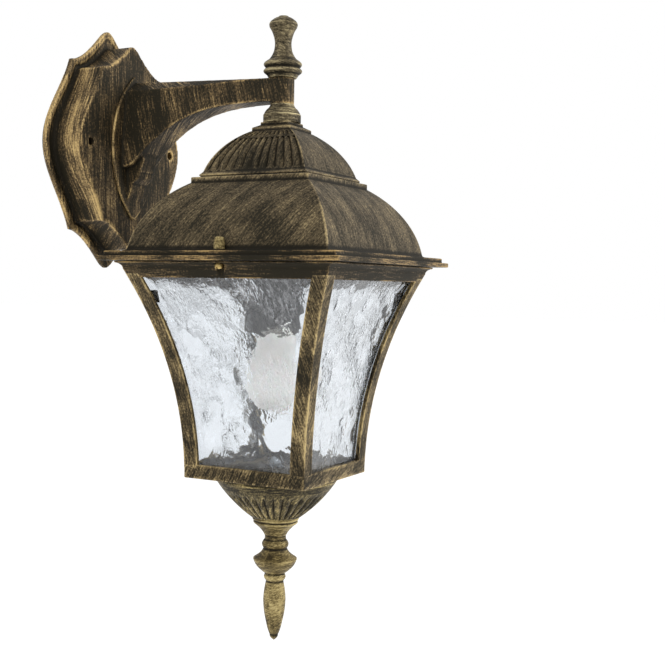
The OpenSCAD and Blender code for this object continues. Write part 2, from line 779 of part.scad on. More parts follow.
lamp_cap_l = 25;
module lamp_cap() {
  foot = lamp_tip - lamp_cap_l;
  r = cap_d / 2;
  thread = [for (i = [0:4]) let (z = foot + 3 + 3.6 * i) for (p = swell([r - 0.9, z], [r - 0.9, z + 3.6], 0.9, 4)) p];
  color(steel) at_lantern() difference() {
    turned(concat([[0, foot], [r - 0.6, foot], [r - 0.9, foot + 3]], thread,
      [[r - 2.5, lamp_tip - 3], [6, lamp_tip - 1.4], [0, lamp_tip - 1.4]]));
    translate([0, 0, foot - 1]) cylinder(r = r - 1.7, h = lamp_cap_l - 5);
  }
}

module lamp_contact() {
  color(brass) at_lantern() translate([0, 0, lamp_tip - 1.4]) {
    cylinder(d = 10, h = 0.7);
    cylinder(d = 5, h = 1.4);
  }
}

module lamp_globe() {
  globe_r = globe_d / 2;
  foot = lamp_tip - lamp_cap_l;
  mid = lamp_tip - lamp_l + globe_r;
  neck_r = cap_d / 2 - 1.8;
  neck_angle = 26;
  shape = function (inset) concat(
    [for (i = [0:16]) let (a = -90 + (90 + neck_angle) * i / 16)
      [max((globe_r - inset) * cos(a), 0), mid + (globe_r - inset) * sin(a)]],
    [[neck_r - inset + 1.2, foot - 5], [neck_r - inset, foot - 1], [neck_r - inset, foot + 8], [0, foot + 8]]
  );
  color(opal) at_lantern() difference() {
    turned(shape(0));
    turned(shape(1.2));
    translate([0, 0, foot]) cylinder(r = neck_r - 1.2, h = 9);
  }
}

// ---- Cage ---------------------------------------------------------------------------------

seal_t = 0.9;
module rim_seal() {
  outer = cage_neck_w / 2 - 0.2;
  color(rubber) at_lantern() difference() {
    slab(outer, cage_top - seal_t, cage_top);
    slab(outer - 3, cage_top - 2, cage_top + 1);
    for (x = [-screw_x, screw_x]) translate([x, 0, cage_top - 2]) cylinder(d = cage_screw_d + 2 * move_gap, h = 4);
  }
}

module cage_frame() {
  flange = cage_flange_half;
  outside = concat(
    cage_side(cage_foot, neck_z, 0),
    arc_points([cage_neck_w / 2, neck_z], [flange, neck_z + 3.9], 4.1, -1, 4),
    [[flange, cage_top]]
  );
  inside = concat(
    cage_side(cage_foot + floor_t, neck_z, cage_wall),
    [[cage_neck_w / 2 - cage_wall - 1, cage_top + 1]]
  );
  color(bronze) at_lantern() difference() {
    square_form(outside);
    square_form(inside);
    window_cut();
    rotate(90) window_cut();
    difference() {
      slab(cage_neck_w / 2, cage_top - seal_t - seat_gap, cage_top + 1);
      slab(cage_neck_w / 2 - 3.4, cage_top - 3, cage_top + 2);
    }
    for (x = [-screw_x, screw_x]) translate([x, 0, 0]) {
      translate([0, 0, cage_top - 6]) cylinder(d = cage_screw_d + 2 * screw_gap, h = 8);
      translate([0, 0, neck_z - 4]) cylinder(d = screw_head_d + 1.2, h = screw_seat_z - neck_z + 4);
    }
    translate([0, 0, cage_foot - 1]) cylinder(d = stud_d + 2 * seat_gap, h = floor_t + 2);
  }
}

// Cuts the front and back windows
module window_cut() {
  side = cage_side(window_foot, window_top, post_w);
  outline = concat(side, [for (i = [len(side) - 1:-1:0]) [-side[i][0], side[i][1]]]);
  rotate([90, 0, 0]) linear_extrude(2 * cage_neck_w, center = true) polygon(outline);
}

// One bent pane, on the +X side
module pane() {
  face = cage_wall + glass_gap;
  outer = cage_side(pane_foot, pane_top, face);
  inner = cage_side(pane_foot, pane_top, face + glass_t);
  edge = cage_side(pane_foot, pane_top, face + glass_t + glass_gap);
  color(clear_glass, 0.35) intersection() {
    rotate([90, 0, 0]) linear_extrude(2 * cage_neck_w, center = true)
      polygon(concat(outer, [for (i = [len(inner) - 1:-1:0]) inner[i]]));
    rotate([90, 0, 90]) linear_extrude(2 * cage_neck_w, center = true)
      polygon(concat(edge, [for (i = [len(edge) - 1:-1:0]) [-edge[i][0], edge[i][1]]]));
  }
}

module glass_right() at_lantern() pane();
module glass_back() at_lantern() rotate(90) pane();
module glass_left() at_lantern() rotate(180) pane();
module glass_front() at_lantern() rotate(270) pane();

// Angle clips in the four corners: near the top of the panes, and behind the bottom rail
module glass_clips() {
  clip_t = 1.2;
  clip_leg = 5;
  behind = cage_wall + glass_gap + glass_t + seat_gap;
  for (place = [[window_top - 16, 8], [pane_foot + 0.4, rail_h - floor_t - 1]]) {
    z = place[0];
    clip_h = place[1];
    outer = cage_side(z, z + clip_h, behind, 3);
    inner = cage_side(z, z + clip_h, behind + clip_t, 3);
    corner = cage_half(z + clip_h / 2) - behind;
    color(rubber) at_lantern() for (turn = [0:90:270]) rotate(turn) intersection() {
      difference() {
        square_form(outer);
        square_form([for (i = [0:len(inner) - 1])
          [inner[i][0], inner[i][1] + (i == 0 ? -1 : i == len(inner) - 1 ? 1 : 0)]]);
      }
      translate([corner - clip_leg, corner - clip_leg, z - 1]) cube([30, 30, clip_h + 2]);
    }
  }
}

module cage_screw(side) {
  head_top = screw_seat_z - move_gap;
  color(brass) at_lantern() translate([side * screw_x, 0, head_top - screw_head_h]) difference() {
    union() {
      cylinder(d1 = screw_head_d - 1.2, d2 = screw_head_d, h = 0.8);
      translate([0, 0, 0.8]) cylinder(d = screw_head_d, h = screw_head_h - 0.8);
      cylinder(d = cage_screw_d, h = boss_top - 4 - head_top + screw_head_h);
    }
    translate([-screw_head_d, -0.5, -1]) cube([2 * screw_head_d, 1, 2]);
  }
}

module cage_screw_left() cage_screw(-1);
module cage_screw_right() cage_screw(1);

// ---- Bowl and drop finial -------------------------------------------------------------------

module bowl() {
  outer = concat(
    [[bowl_foot_r - 2, bowl_foot], [bowl_foot_r, bowl_foot]],
    arc_points([bowl_foot_r, bowl_foot], [bowl_r - 0.3, bowl_top - bowl_lip_h], bowl_side_r, 1, 12),
    [[bowl_r, bowl_top - bowl_lip_h + 0.5], [bowl_r, bowl_top]]
  );
  inner = concat(
    [[0, bowl_foot + bowl_wall]],
    arc_points([bowl_foot_r - bowl_wall, bowl_foot + bowl_wall],
      [bowl_r - bowl_wall - 1, bowl_top - bowl_lip_h], bowl_side_r, 1, 10),
    [[bowl_r - bowl_wall - 1, bowl_top + 1], [0, bowl_top + 1]]
  );
  color(bronze) at_lantern() difference() {
    turned(concat([[0, bowl_foot]], outer, [[0, bowl_top]]));
    turned(inner);
    translate([0, 0, bowl_foot - 1]) cylinder(d = stud_d + 2 * seat_gap, h = 10);
  }
}

module bowl_seal() {
  color(rubber) at_lantern() translate([0, 0, cage_foot + floor_t]) difference() {
    cylinder(d = 16, h = 1);
    translate([0, 0, -1]) cylinder(d = stud_d + 2 * seat_gap, h = 3);
  }
}

module drop_finial() {
  l = drop_l;
  side = concat(
    swell([bowl_foot_r - 1.5, 0], [15.4, -2.2], 0.5, 4),
    swell([14.8, -2.6], [14.2, -5], 0.7, 4),
    swell([13.8, -5.2], [7.3, -13], -0.8),
    swell([7.1, -13], [7.4, -16], 0),
    swell([7.9, -16.2], [7.9, -21.8], 1.2),
    swell([8.2, -22.2], [14.9, -28.6], -1.1, 6),
    swell([14.9, -29.4], [7.4, -38.6], 1.3, 8),
    swell([7, -38.8], [6.6, -39.4], 0, 1),
    swell([6.9, -39.6], [6.4, -43.6], 0.8, 4),
    swell([6, -44.4], [7.7, -57], 0.3, 4),
    swell([7.7, -57], [5.4, -l + 12.1], 0.5, 5),
    swell([5.4, -l + 12.1], [2.9, -l + 4.1], 0.3, 3),
    swell([2.9, -l + 4.1], [0, -l], 0.9, 4)
  );
  color(antique_gold) at_lantern() translate([0, 0, drop_top]) difference() {
    turned(concat([[0, 0]], side));
    translate([0, 0, -24]) cylinder(d = stud_d + 2 * seat_gap, h = 30);
  }
}

module finial_stud() {
  foot = drop_top - 23;
  color(steel) at_lantern() translate([0, 0, foot]) cylinder(d = stud_d, h = cage_foot + floor_t + 9 - foot);
}

module stud_washer() {
  color(steel) at_lantern() translate([0, 0, cage_foot + floor_t + 1]) difference() {
    cylinder(d = 14, h = 1.2);
    translate([0, 0, -1]) cylinder(d = stud_d + 2 * seat_gap, h = 4);
  }
}

module stud_nut() {
  color(steel) at_lantern() translate([0, 0, cage_foot + floor_t + 2.2]) difference() {
    hexagon(10, 5);
    translate([0, 0, -1]) cylinder(d = stud_d + 2 * seat_gap, h = 7);
  }
}

wall_seal();
wall_plate();
arm_bracket();
arm_bolts();
arm_bolt_washers();
arm_grommet();
terminal_block();
terminal_tubes();
terminal_screws();
terminal_fixing_screw();
earth_screw();
earth_ring();
earth_wire();
live_wire();
neutral_wire();
threaded_tube();
top_finial();
lower_collar();
dome_seal();
fluted_dome();
roof();
tube_washer();
tube_nut();
holder_cap();
holder_body();
holder_ring();
holder_insert();
holder_shell();
holder_contact();
holder_screws();
lamp_globe();
lamp_cap();
lamp_contact();
rim_seal();
cage_frame();
glass_front();
glass_back();
glass_left();
glass_right();
glass_clips();
cage_screw_left();
cage_screw_right();
bowl();
bowl_seal();
drop_finial();
finial_stud();
stud_nut();
stud_washer();
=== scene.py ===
"""Outdoor wall lantern: the looks of its castings, rippled glass, lamp and fittings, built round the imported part."""
import math

import bmesh
import bpy
import numpy as np
from mathutils import Matrix, Vector


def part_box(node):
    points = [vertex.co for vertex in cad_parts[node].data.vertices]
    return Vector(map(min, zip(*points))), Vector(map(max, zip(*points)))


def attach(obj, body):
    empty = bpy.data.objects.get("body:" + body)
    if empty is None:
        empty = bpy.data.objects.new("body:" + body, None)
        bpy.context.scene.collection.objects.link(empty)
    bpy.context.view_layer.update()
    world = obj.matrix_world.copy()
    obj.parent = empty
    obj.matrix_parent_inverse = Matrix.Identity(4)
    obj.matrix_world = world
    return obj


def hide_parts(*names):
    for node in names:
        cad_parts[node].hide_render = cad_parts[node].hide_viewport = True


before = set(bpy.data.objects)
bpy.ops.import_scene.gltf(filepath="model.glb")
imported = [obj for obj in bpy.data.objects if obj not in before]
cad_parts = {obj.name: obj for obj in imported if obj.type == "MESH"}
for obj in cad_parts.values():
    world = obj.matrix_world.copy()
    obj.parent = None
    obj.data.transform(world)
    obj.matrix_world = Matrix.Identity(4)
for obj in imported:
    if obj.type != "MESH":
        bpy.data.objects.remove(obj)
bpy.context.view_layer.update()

MM = 0.001
WELD = 2e-6  # metres within which two points are one

# ---- Where the lantern is -----------------------------------------------------------------

RIM_STEP_T = 3.0
roof_low, roof_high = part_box("roof")
AXIS = Vector(((roof_low.x + roof_high.x) / 2, (roof_low.y + roof_high.y) / 2, roof_low.z + RIM_STEP_T * MM))
RIM_HALF = (roof_high.x - roof_low.x) / 2 / MM

# Levels in mm from the top of the rim's lower step
CAGE_TOP = -3.3
CAGE_FOOT = -146.2
NECK = CAGE_TOP - 4.9
WINDOW_TOP = NECK - 5.5
WINDOW_FOOT = CAGE_FOOT + 9.4
PANE_TOP = WINDOW_TOP + 4.5
PANE_FOOT = CAGE_FOOT + 3.1
NECK_HALF = 75.2
FOOT_HALF = 45.2
FLANGE_HALF = 79.2
FLARE_R = 332.0
WALL = 3.0
POST = 10.5
DOME_FOOT = 56.7
DOME_TOP = 85.2
COLLAR_FOOT = 91.5
COLUMN_TOP = 121.5
BOWL_TOP = CAGE_FOOT - 0.1
BOWL_FOOT = BOWL_TOP - 28.0
DROP_TOP = BOWL_FOOT - 0.1


def raised(points, foot):
    """A profile moved up by its foot's height."""
    return [(r, z + foot) for r, z in points]


def arc_centre(p, q, r, side):
    """Centre of the arc of radius r from p to q, on the given side of the chord."""
    p, q = np.array(p, float), np.array(q, float)
    d = np.linalg.norm(q - p)
    u = (q - p) / d
    return (p + q) / 2 + side * math.sqrt(max(r * r - d * d / 4, 0)) * np.array([-u[1], u[0]])


def arc(p, q, r, side=1, n=12):
    """Points along that arc, both ends included."""
    c = arc_centre(p, q, r, side)
    a0 = math.atan2(p[1] - c[1], p[0] - c[0])
    a1 = math.atan2(q[1] - c[1], q[0] - c[0])
    turn = (a1 - a0 + math.pi) % (2 * math.pi) - math.pi
    rr = math.hypot(p[0] - c[0], p[1] - c[1])
    return [(c[0] + rr * math.cos(a0 + turn * i / n), c[1] + rr * math.sin(a0 + turn * i / n)) for i in range(n + 1)]


def swell(p, q, bulge, n=8):
    """Points of a turned moulding from p to q that swells outwards by bulge."""
    return [
        (p[0] + (q[0] - p[0]) * i / n + bulge * math.sin(math.pi * i / n), p[1] + (q[1] - p[1]) * i / n)
        for i in range(n + 1)
    ]


flare_c = arc_centre((FOOT_HALF, CAGE_FOOT), (NECK_HALF, NECK), FLARE_R, -1)
flare_r = math.hypot(FOOT_HALF - flare_c[0], CAGE_FOOT - flare_c[1])


def cage_half(z):
    """Half width of the outside of the cage at height z."""
    return flare_c[0] - math.sqrt(max(flare_r**2 - (z - flare_c[1]) ** 2, 0))


def cage_side(z0, z1, inset=0.0, n=14):
    """Points up the flare of the cage between two heights, a wall or a gap further in."""
    return [(cage_half(z0 + (z1 - z0) * i / n) - inset, z0 + (z1 - z0) * i / n) for i in range(n + 1)]


# ---- Nodes --------------------------------------------------------------------------------

MATH, VECTOR, RANGE, MIX = "ShaderNodeMath", "ShaderNodeVectorMath", "ShaderNodeMapRange", "ShaderNodeMix"
NOISE, MAPPING, COMBINE = "ShaderNodeTexNoise", "ShaderNodeMapping", "ShaderNodeCombineXYZ"


def add(tree, kind, inputs=None, **settings):
    """Adds one node with its settings; an input is a number, a socket, or a node whose first output is linked."""
    made = tree.nodes.new(kind)
    for name, value in settings.items():
        setattr(made, name, value)
    for name, value in (inputs or {}).items():
        socket = made.inputs[name]
        if isinstance(value, bpy.types.Node):
            value = next(o for o in value.outputs if o.enabled)
        if isinstance(value, bpy.types.NodeSocket):
            tree.links.new(value, socket)
        else:
            socket.default_value = value
    return made


def linear(code, alpha=1.0):
    """An sRGB hex colour as linear RGBA."""
    parts = [int(code[i : i + 2], 16) / 255 for i in (1, 3, 5)]
    return tuple(c / 12.92 if c <= 0.04045 else ((c + 0.055) / 1.055) ** 2.4 for c in parts) + (alpha,)


def new_material(name):
    """A material with no nodes yet, and its tree."""
    mat = bpy.data.materials.new(name)
    mat.use_nodes = True
    mat.node_tree.nodes.clear()
    return mat, mat.node_tree


def surfaced(mat, values):
    """Ends a material in one shader that takes these values and outputs."""
    shader = add(mat.node_tree, "ShaderNodeBsdfPrincipled", values)
    add(mat.node_tree, "ShaderNodeOutputMaterial", {"Surface": shader})
    return mat


# ---- Materials ----------------------------------------------------------------------------


def brushed_casting(
    name, coverage, gold, bright, dark="#13120c", stroke=(20.0, 1.2), seed=0.0, contrast=1.0, edge=0.72, speckle=0.9,
):
    """Sand-cast aluminium in near-black bronze paint, dry-brushed with antique gold: thin broken strokes of
    gold that catch on the cast grain, solid gold along raised edges, and bare dark paint in the hollows,
    darkened further towards black there by painted shade."""
    mat, tree = new_material(name)
    strokes = add(tree, "ShaderNodeUVMap", uv_map="strokes")
    spot = add(tree, "ShaderNodeTexCoord").outputs["Object"]
    wear = add(tree, "ShaderNodeAttribute", attribute_name="wear").outputs["Fac"]
    hollow = add(tree, "ShaderNodeAttribute", attribute_name="hollow").outputs["Fac"]
    length, width = stroke[0] * MM, stroke[1] * MM
    # Long soft strokes, and a second set of hair-fine ones brushed a few degrees across them
    along = add(
        tree, MAPPING, {"Vector": strokes, "Scale": (1 / length, 1 / width, 1), "Location": (seed, seed, seed)}
    )
    broad = add(tree, NOISE, {"Vector": along, "Scale": 1.0, "Detail": 3.0, "Roughness": 0.6, "Distortion": 0.2})
    turned = add(tree, MAPPING, {"Vector": strokes, "Rotation": (0, 0, math.radians(9)), "Location": (seed, 0.3, 0)})
    across = add(tree, MAPPING, {"Vector": turned, "Scale": (1.6 / length, 2.2 / width, 1)})
    fine = add(tree, NOISE, {"Vector": across, "Scale": 1.0, "Detail": 2.0, "Roughness": 0.6})
    # Cast grain 1.3 mm across, coarser than the real sand so that it shows; bands where the brush was loaded; and
    # patches some 34 mm across where it ran dry
    grain = add(tree, NOISE, {"Vector": spot, "Scale": 1 / (1.3 * MM), "Detail": 2.0, "Roughness": 0.7})
    swathe = add(
        tree, MAPPING, {"Vector": strokes, "Scale": (0.45 / length, 0.13 / width, 1), "Location": (0, seed, 2)}
    )
    band = add(tree, NOISE, {"Vector": swathe, "Scale": 1.0, "Detail": 1.0})
    patch = add(tree, NOISE, {"Vector": spot, "Scale": 1 / (34 * MM), "Detail": 2.0, "Roughness": 0.5})
    both = add(tree, MIX, {0: 0.5, 2: broad.outputs["Fac"], 3: fine.outputs["Fac"]}, data_type="FLOAT")
    # Each layer is centred on nought and weighed, so that the paint level says how much gold lies at a spot
    reach = 1.25 * contrast
    level = add(tree, RANGE, {0: both, 3: coverage - reach, 4: coverage + reach}, clamp=False)
    for layer, weight in ((grain, speckle), (band, 0.4 * contrast), (patch, 0.45 * contrast)):
        share = add(tree, RANGE, {0: layer.outputs["Fac"], 3: -weight, 4: weight}, clamp=False)
        level = add(tree, MATH, {0: level, 1: share}, operation="ADD")
    rubbed = add(tree, RANGE, {0: patch.outputs["Fac"], 1: 0.36, 2: 0.62, 3: 0.35 * edge, 4: edge})
    level = add(tree, MATH, {0: wear, 1: rubbed, 2: level}, operation="MULTIPLY_ADD")
    paint = add(tree, MATH, {0: hollow, 1: -0.5, 2: level}, operation="MULTIPLY_ADD")
    veil = add(tree, RANGE, {0: paint, 1: -0.32, 2: 0.42})
    lit = add(tree, RANGE, {0: paint, 1: 0.24, 2: 0.95})
    soot = add(tree, MIX, {0: patch.outputs["Fac"], 6: linear(dark), 7: linear("#231f16")}, data_type="RGBA")
    brown = add(tree, MIX, {0: veil, 6: soot.outputs[2], 7: linear(gold)}, data_type="RGBA")
    # Painted shade: the hollows are darkened towards near-black #090806, on top of the lesser gold there
    shade_in = add(tree, RANGE, {0: hollow, 3: 0.0, 4: 0.8})
    painted_shade_colour = add(tree, MIX, {0: shade_in, 6: brown.outputs[2], 7: linear("#090806")}, data_type="RGBA")
    colour = add(tree, MIX, {0: lit, 6: painted_shade_colour.outputs[2], 7: linear(bright)}, data_type="RGBA")
    rough = add(tree, RANGE, {0: veil, 3: 0.66, 4: 0.46})
    metal = add(tree, RANGE, {0: lit, 3: 0.0, 4: 0.3})
    height = add(tree, MATH, {0: both, 1: 0.6, 2: grain.outputs["Fac"]}, operation="MULTIPLY_ADD")
    bump = add(tree, "ShaderNodeBump", {"Height": height, "Strength": 0.6, "Distance": 0.25 * MM})
    return surfaced(mat, {
        "Base Color": colour.outputs[2], "Roughness": rough, "Metallic": metal, "Normal": bump,
        "Specular IOR Level": 0.24, "Specular Tint": linear("#eee0c4"),
    })


def plain_finish(name, code, second, size, roughness, metallic=0.0, bump=0.1):
    """A finish whose colour and gloss wander a little over a grain of the given size in mm."""
    mat, tree = new_material(name)
    spot = add(tree, "ShaderNodeTexCoord").outputs["Object"]
    grain = add(tree, NOISE, {"Vector": spot, "Scale": 1 / (size * MM), "Detail": 4.0, "Roughness": 0.6}).outputs["Fac"]
    colour = add(tree, MIX, {0: grain, 6: linear(code), 7: linear(second)}, data_type="RGBA")
    gloss = add(tree, RANGE, {0: grain, 3: roughness - 0.08, 4: roughness + 0.1})
    dent = add(tree, "ShaderNodeBump", {"Height": grain, "Strength": 0.5, "Distance": bump * MM})
    return surfaced(mat, {
        "Base Color": colour.outputs[2], "Roughness": gloss, "Normal": dent, "Metallic": metallic,
    })


# Castings: thin brushing on the roof and dome, short and livelier on the posts and rail, hardly any on the top band,
# long on the plate and arm, wiped round on the turned pieces; the bowl's gold lies on its reeds, and the drop and the
# two bosses are nearly all gold
CAST = brushed_casting("cast aluminium, bronze paint, dry-brushed gold", -0.06, "#645741", "#a6946b")
CAST_FRAME = brushed_casting(
    "cast aluminium, bronze paint, short gold strokes", -0.02, "#68593f", "#b9a474", stroke=(13.0, 1.3), seed=9.0,
    contrast=1.5,
)
CAST_BAND = brushed_casting(
    "cast aluminium, bronze paint, barely brushed", -0.46, "#66543a", "#a98d5c", stroke=(26.0, 1.4), seed=5.0,
    contrast=1.5, edge=0.85,
)
CAST_PLATE = brushed_casting(
    "cast aluminium, bronze paint, long gold strokes", -0.2, "#6a573c", "#c2a670", stroke=(34.0, 1.5), seed=3.0,
    contrast=1.7, edge=0.95,
)
CAST_TURNED = brushed_casting(
    "cast aluminium, bronze paint, gold wiped round", 0.02, "#6a5f48", "#ada07a", stroke=(16.0, 1.5), seed=7.0,
    contrast=1.3, speckle=0.6,
)
CAST_BOWL = brushed_casting(
    "cast aluminium, bronze paint, gold on the reeds", -0.1, "#6b5f3f", "#b3a06c", stroke=(8.0, 1.3), seed=13.0,
    contrast=1.3, edge=0.9,
)
CAST_GOLD = brushed_casting(
    "cast aluminium, antique gold paint", 0.2, "#7d6d45", "#bcab78", dark="#2e2616", stroke=(12.0, 1.4), seed=11.0,
    contrast=1.3, edge=0.5, speckle=0.45,
)

# Moulded rubber: soft black with a faint bloom
RUBBER = plain_finish("moulded black rubber", "#141414", "#232322", 3.0, 0.72, bump=0.1)
# Moulded phenolic: smooth, nearly black, with the slight waviness of a pressed part
PHENOLIC = plain_finish("moulded black phenolic", "#1a1817", "#262322", 6.0, 0.34, bump=0.08)
# Zinc-plated steel: cool grey with faint bright and dull clouds
ZINC = plain_finish("zinc-plated steel", "#a9adb2", "#8b9095", 1.6, 0.34, metallic=1.0, bump=0.03)
# Blackened spring steel: dark with a dull sheen
SPRING = plain_finish("blackened spring steel", "#17181a", "#2b2a28", 2.0, 0.42, metallic=0.6, bump=0.03)
# Brass: warm yellow, a little tarnished
BRASS = plain_finish("turned brass", "#c9b27a", "#a48a52", 2.2, 0.3, metallic=1.0, bump=0.04)
# Nickel-plated lamp cap: pale warm metal
NICKEL = plain_finish("nickel-plated lamp cap", "#c3bfb6", "#a29e95", 2.0, 0.25, metallic=1.0, bump=0.03)
# Glazed porcelain: ivory white and glossy
PORCELAIN = plain_finish("glazed porcelain", "#e8e2d4", "#dcd4c3", 5.0, 0.16, bump=0.04)
# Moulded nylon: dull off-white
NYLON = plain_finish("moulded white nylon", "#dcd8cb", "#cfcabb", 4.0, 0.48, bump=0.05)
# Silicone-covered leads
LEAD_BROWN = plain_finish("silicone lead, brown", "#5a3420", "#4a2a1a", 3.0, 0.46, bump=0.05)
LEAD_BLUE = plain_finish("silicone lead, blue", "#2a5596", "#234a86", 3.0, 0.46, bump=0.05)


def striped_lead():
    """Silicone-covered earth lead: green, crossed by soft yellow bands."""
    mat, tree = new_material("silicone lead, green and yellow")
    spot = add(tree, "ShaderNodeTexCoord").outputs["Object"]
    turned = add(tree, MAPPING, {"Vector": spot, "Rotation": (0.4, 0.5, 0)})
    bands = add(
        tree, "ShaderNodeTexWave", {"Vector": turned, "Scale": 1 / (22 * MM), "Distortion": 0.3}, bands_direction="X"
    )
    edge = add(tree, RANGE, {0: bands.outputs["Fac"], 1: 0.44, 2: 0.56})
    colour = add(tree, MIX, {0: edge, 6: linear("#3f8a35"), 7: linear("#d9c62f")}, data_type="RGBA")
    return surfaced(mat, {"Base Color": colour.outputs[2], "Roughness": 0.45})


LEAD_EARTH = striped_lead()


def rolled_glass():
    """Clear rolled glass: the lumps are in the mesh. The bump is what the roller leaves on them, a ripple some 9 mm
    long, and patches of crinkle 2.4 mm apart that break the metal and lamp behind into short dark and bright lines."""
    mat, tree = new_material("clear rolled glass")
    spot = add(tree, "ShaderNodeTexCoord").outputs["Object"]
    soft = {"Detail": 1.5, "Roughness": 0.5}
    wave = add(tree, NOISE, {"Vector": spot, "Scale": 1 / (9 * MM), "Distortion": 0.8, **soft}).outputs["Fac"]
    leaning = add(tree, MAPPING, {"Vector": spot, "Rotation": (0.5, 0.4, 0.3), "Scale": (1, 1, 0.6)})
    crinkle = add(tree, NOISE, {"Vector": leaning, "Scale": 1 / (2.4 * MM), "Distortion": 0.6, **soft}).outputs["Fac"]
    place = add(tree, NOISE, {"Vector": spot, "Scale": 1 / (30 * MM), "Detail": 1.0}).outputs["Fac"]
    where = add(tree, RANGE, {0: place, 1: 0.42, 2: 0.6, 3: 0.08, 4: 1.0}, interpolation_type="SMOOTHSTEP")
    fine = add(tree, MATH, {0: crinkle, 1: where}, operation="MULTIPLY")
    total = add(tree, MATH, {0: fine, 1: 1.3, 2: wave}, operation="MULTIPLY_ADD")
    ripple = add(tree, "ShaderNodeBump", {"Height": total, "Strength": 1.0, "Distance": 0.36 * MM})
    # Each ridge of the crinkle scatters a little light, which greys and breaks up what is dark behind it
    ridge = add(tree, RANGE, {0: crinkle, 1: 0.48, 2: 0.68, 3: 0.0, 4: 0.16})
    spread = add(tree, MATH, {0: ridge, 1: where}, operation="MULTIPLY")
    clear = add(tree, RANGE, {0: spread, 3: 0.985, 4: 0.0})
    return surfaced(mat, {
        "Normal": ripple, "Transmission Weight": clear, "Base Color": linear("#f2f5f8"), "Roughness": 0.02, "IOR": 1.5,
    })


GLASS = rolled_glass()


def opal_glass():
    """Opal lamp glass: milky, smooth and faintly cool, with the light sinking a little way in, and a faint painted
    glow.
    """
    mat, tree = new_material("opal lamp glass")
    spot = add(tree, "ShaderNodeTexCoord").outputs["Object"]
    haze = add(tree, NOISE, {"Vector": spot, "Scale": 1 / (18 * MM), "Detail": 2.0}).outputs["Fac"]
    colour = add(tree, MIX, {0: haze, 6: linear("#f6f4ee"), 7: linear("#ebe8df")}, data_type="RGBA")
    return surfaced(mat, {
        "Base Color": colour.outputs[2], "Roughness": 0.2, "Subsurface Weight": 0.15, "Subsurface Scale": 3 * MM,
        # Painted light: a faint white emission stands in for the light that the glass panes keep from the globe, not
        # for the lamp burning
        "Emission Color": linear("#f0f4f2"), "Emission Strength": 0.3,
    })


OPAL = opal_glass()

# ---- Mesh helpers -------------------------------------------------------------------------


def placed(name, data):
    """A new object in the scene with this mesh, light or camera."""
    obj = bpy.data.objects.new(name, data)
    bpy.context.scene.collection.objects.link(obj)
    return obj


def mesh_object(name, points, faces=(), edges=()):
    """A new mesh object from its points, in metres."""
    mesh = bpy.data.meshes.new(name)
    mesh.from_pydata([tuple(p) for p in points], list(edges), [tuple(f) for f in faces])
    mesh.update()
    return placed(name, mesh)


def edited(mesh, change):
    """Opens a mesh, makes the change and writes it back."""
    work = bmesh.new()
    work.from_mesh(mesh)
    change(work)
    work.to_mesh(mesh)
    work.free()


def welded(work):
    """Joins points that lie on each other."""
    bmesh.ops.remove_doubles(work, verts=work.verts, dist=WELD)


def read_all(items, name, width=1, kind=float):
    """One property of all the items of a mesh, a row for each."""
    values = np.empty(len(items) * width, kind)
    items.foreach_get(name, values)
    return values.reshape(-1, width) if width > 1 else values


def corners_of(mesh):
    """The number of the point and of the face at each corner of each face."""
    sizes = read_all(mesh.polygons, "loop_total", kind=int)
    return read_all(mesh.loops, "vertex_index", kind=int), np.repeat(np.arange(len(sizes)), sizes)


def write_strokes(mesh, along, across):
    """Writes the stroke map: how far each corner lies along the brush and across it."""
    layer = mesh.uv_layers.get("strokes") or mesh.uv_layers.new(name="strokes")
    layer.data.foreach_set("uv", np.stack([along, across], 1).astype(np.float32).ravel())


def baked(obj, name=None):
    """Puts the object's modifiers into its mesh and takes them off it."""
    bpy.context.view_layer.update()
    result = bpy.data.meshes.new_from_object(obj.evaluated_get(bpy.context.evaluated_depsgraph_get()))
    obj.modifiers.clear()
    obj.data = result
    if name:
        obj.name = result.name = name
    return obj


def facing_out(obj):
    """Turns a closed mesh so that its faces look outwards, by the sign of its volume."""
    def turn(work):
        """Joins its points and reverses its faces if they look inwards."""
        welded(work)
        if work.calc_volume(signed=True) < 0:
            bmesh.ops.reverse_faces(work, faces=work.faces)

    edited(obj.data, turn)
    return obj


def rounded(points, radius, closed=False, step=2.0):
    """A profile with each corner rounded, unless it turns under 16 degrees, and no stretch longer than step."""
    pts = [np.array(p, float) for p in points]
    pts = [p for i, p in enumerate(pts) if i == 0 or np.linalg.norm(p - pts[i - 1]) > 1e-4]
    if closed and np.linalg.norm(pts[0] - pts[-1]) < 1e-4:
        pts.pop()
    n, out = len(pts), []
    for i, p in enumerate(pts):
        if not closed and i in (0, n - 1):
            out.append(p)
            continue
        a, b = pts[i - 1] - p, pts[(i + 1) % n] - p
        la, lb = np.linalg.norm(a), np.linalg.norm(b)
        turn = math.pi - math.acos(np.clip(a @ b / la / lb, -1, 1))
        if turn < math.radians(16):
            out.append(p)
            continue
        cut = min(radius * math.tan(min(turn, 2.6) / 2), 0.42 * la, 0.42 * lb)
        start, end = p + a / la * cut, p + b / lb * cut
        for k in range(5):
            t = k / 4
            out.append((1 - t) ** 2 * start + 2 * t * (1 - t) * p + t * t * end)
    if closed:
        out.append(out[0])
    fine = [out[0]]
    for q in out[1:]:
        p = fine[-1]
        parts = max(1, math.ceil(np.linalg.norm(q - p) / step))
        fine += [p + (q - p) * k / parts for k in range(1, parts + 1)]
    return fine


def profile_object(points, reed):
    """The profile as a line of points in metres, with how strongly the reeds show at each and the run along it."""
    pts = [np.array(p, float) * MM for p in points]
    obj = mesh_object("profile", [(p[0], 0, p[1]) for p in pts], edges=[(i, i + 1) for i in range(len(pts) - 1)])
    run = np.concatenate([[0], np.cumsum([np.linalg.norm(b - a) for a, b in zip(pts, pts[1:])])])
    for name, values in (("reed", [reed(p[0] / MM, p[1] / MM) for p in pts]), ("run", run)):
        obj.data.attributes.new(name, "FLOAT", "POINT").data.foreach_set("value", np.array(values, np.float32))
    return obj


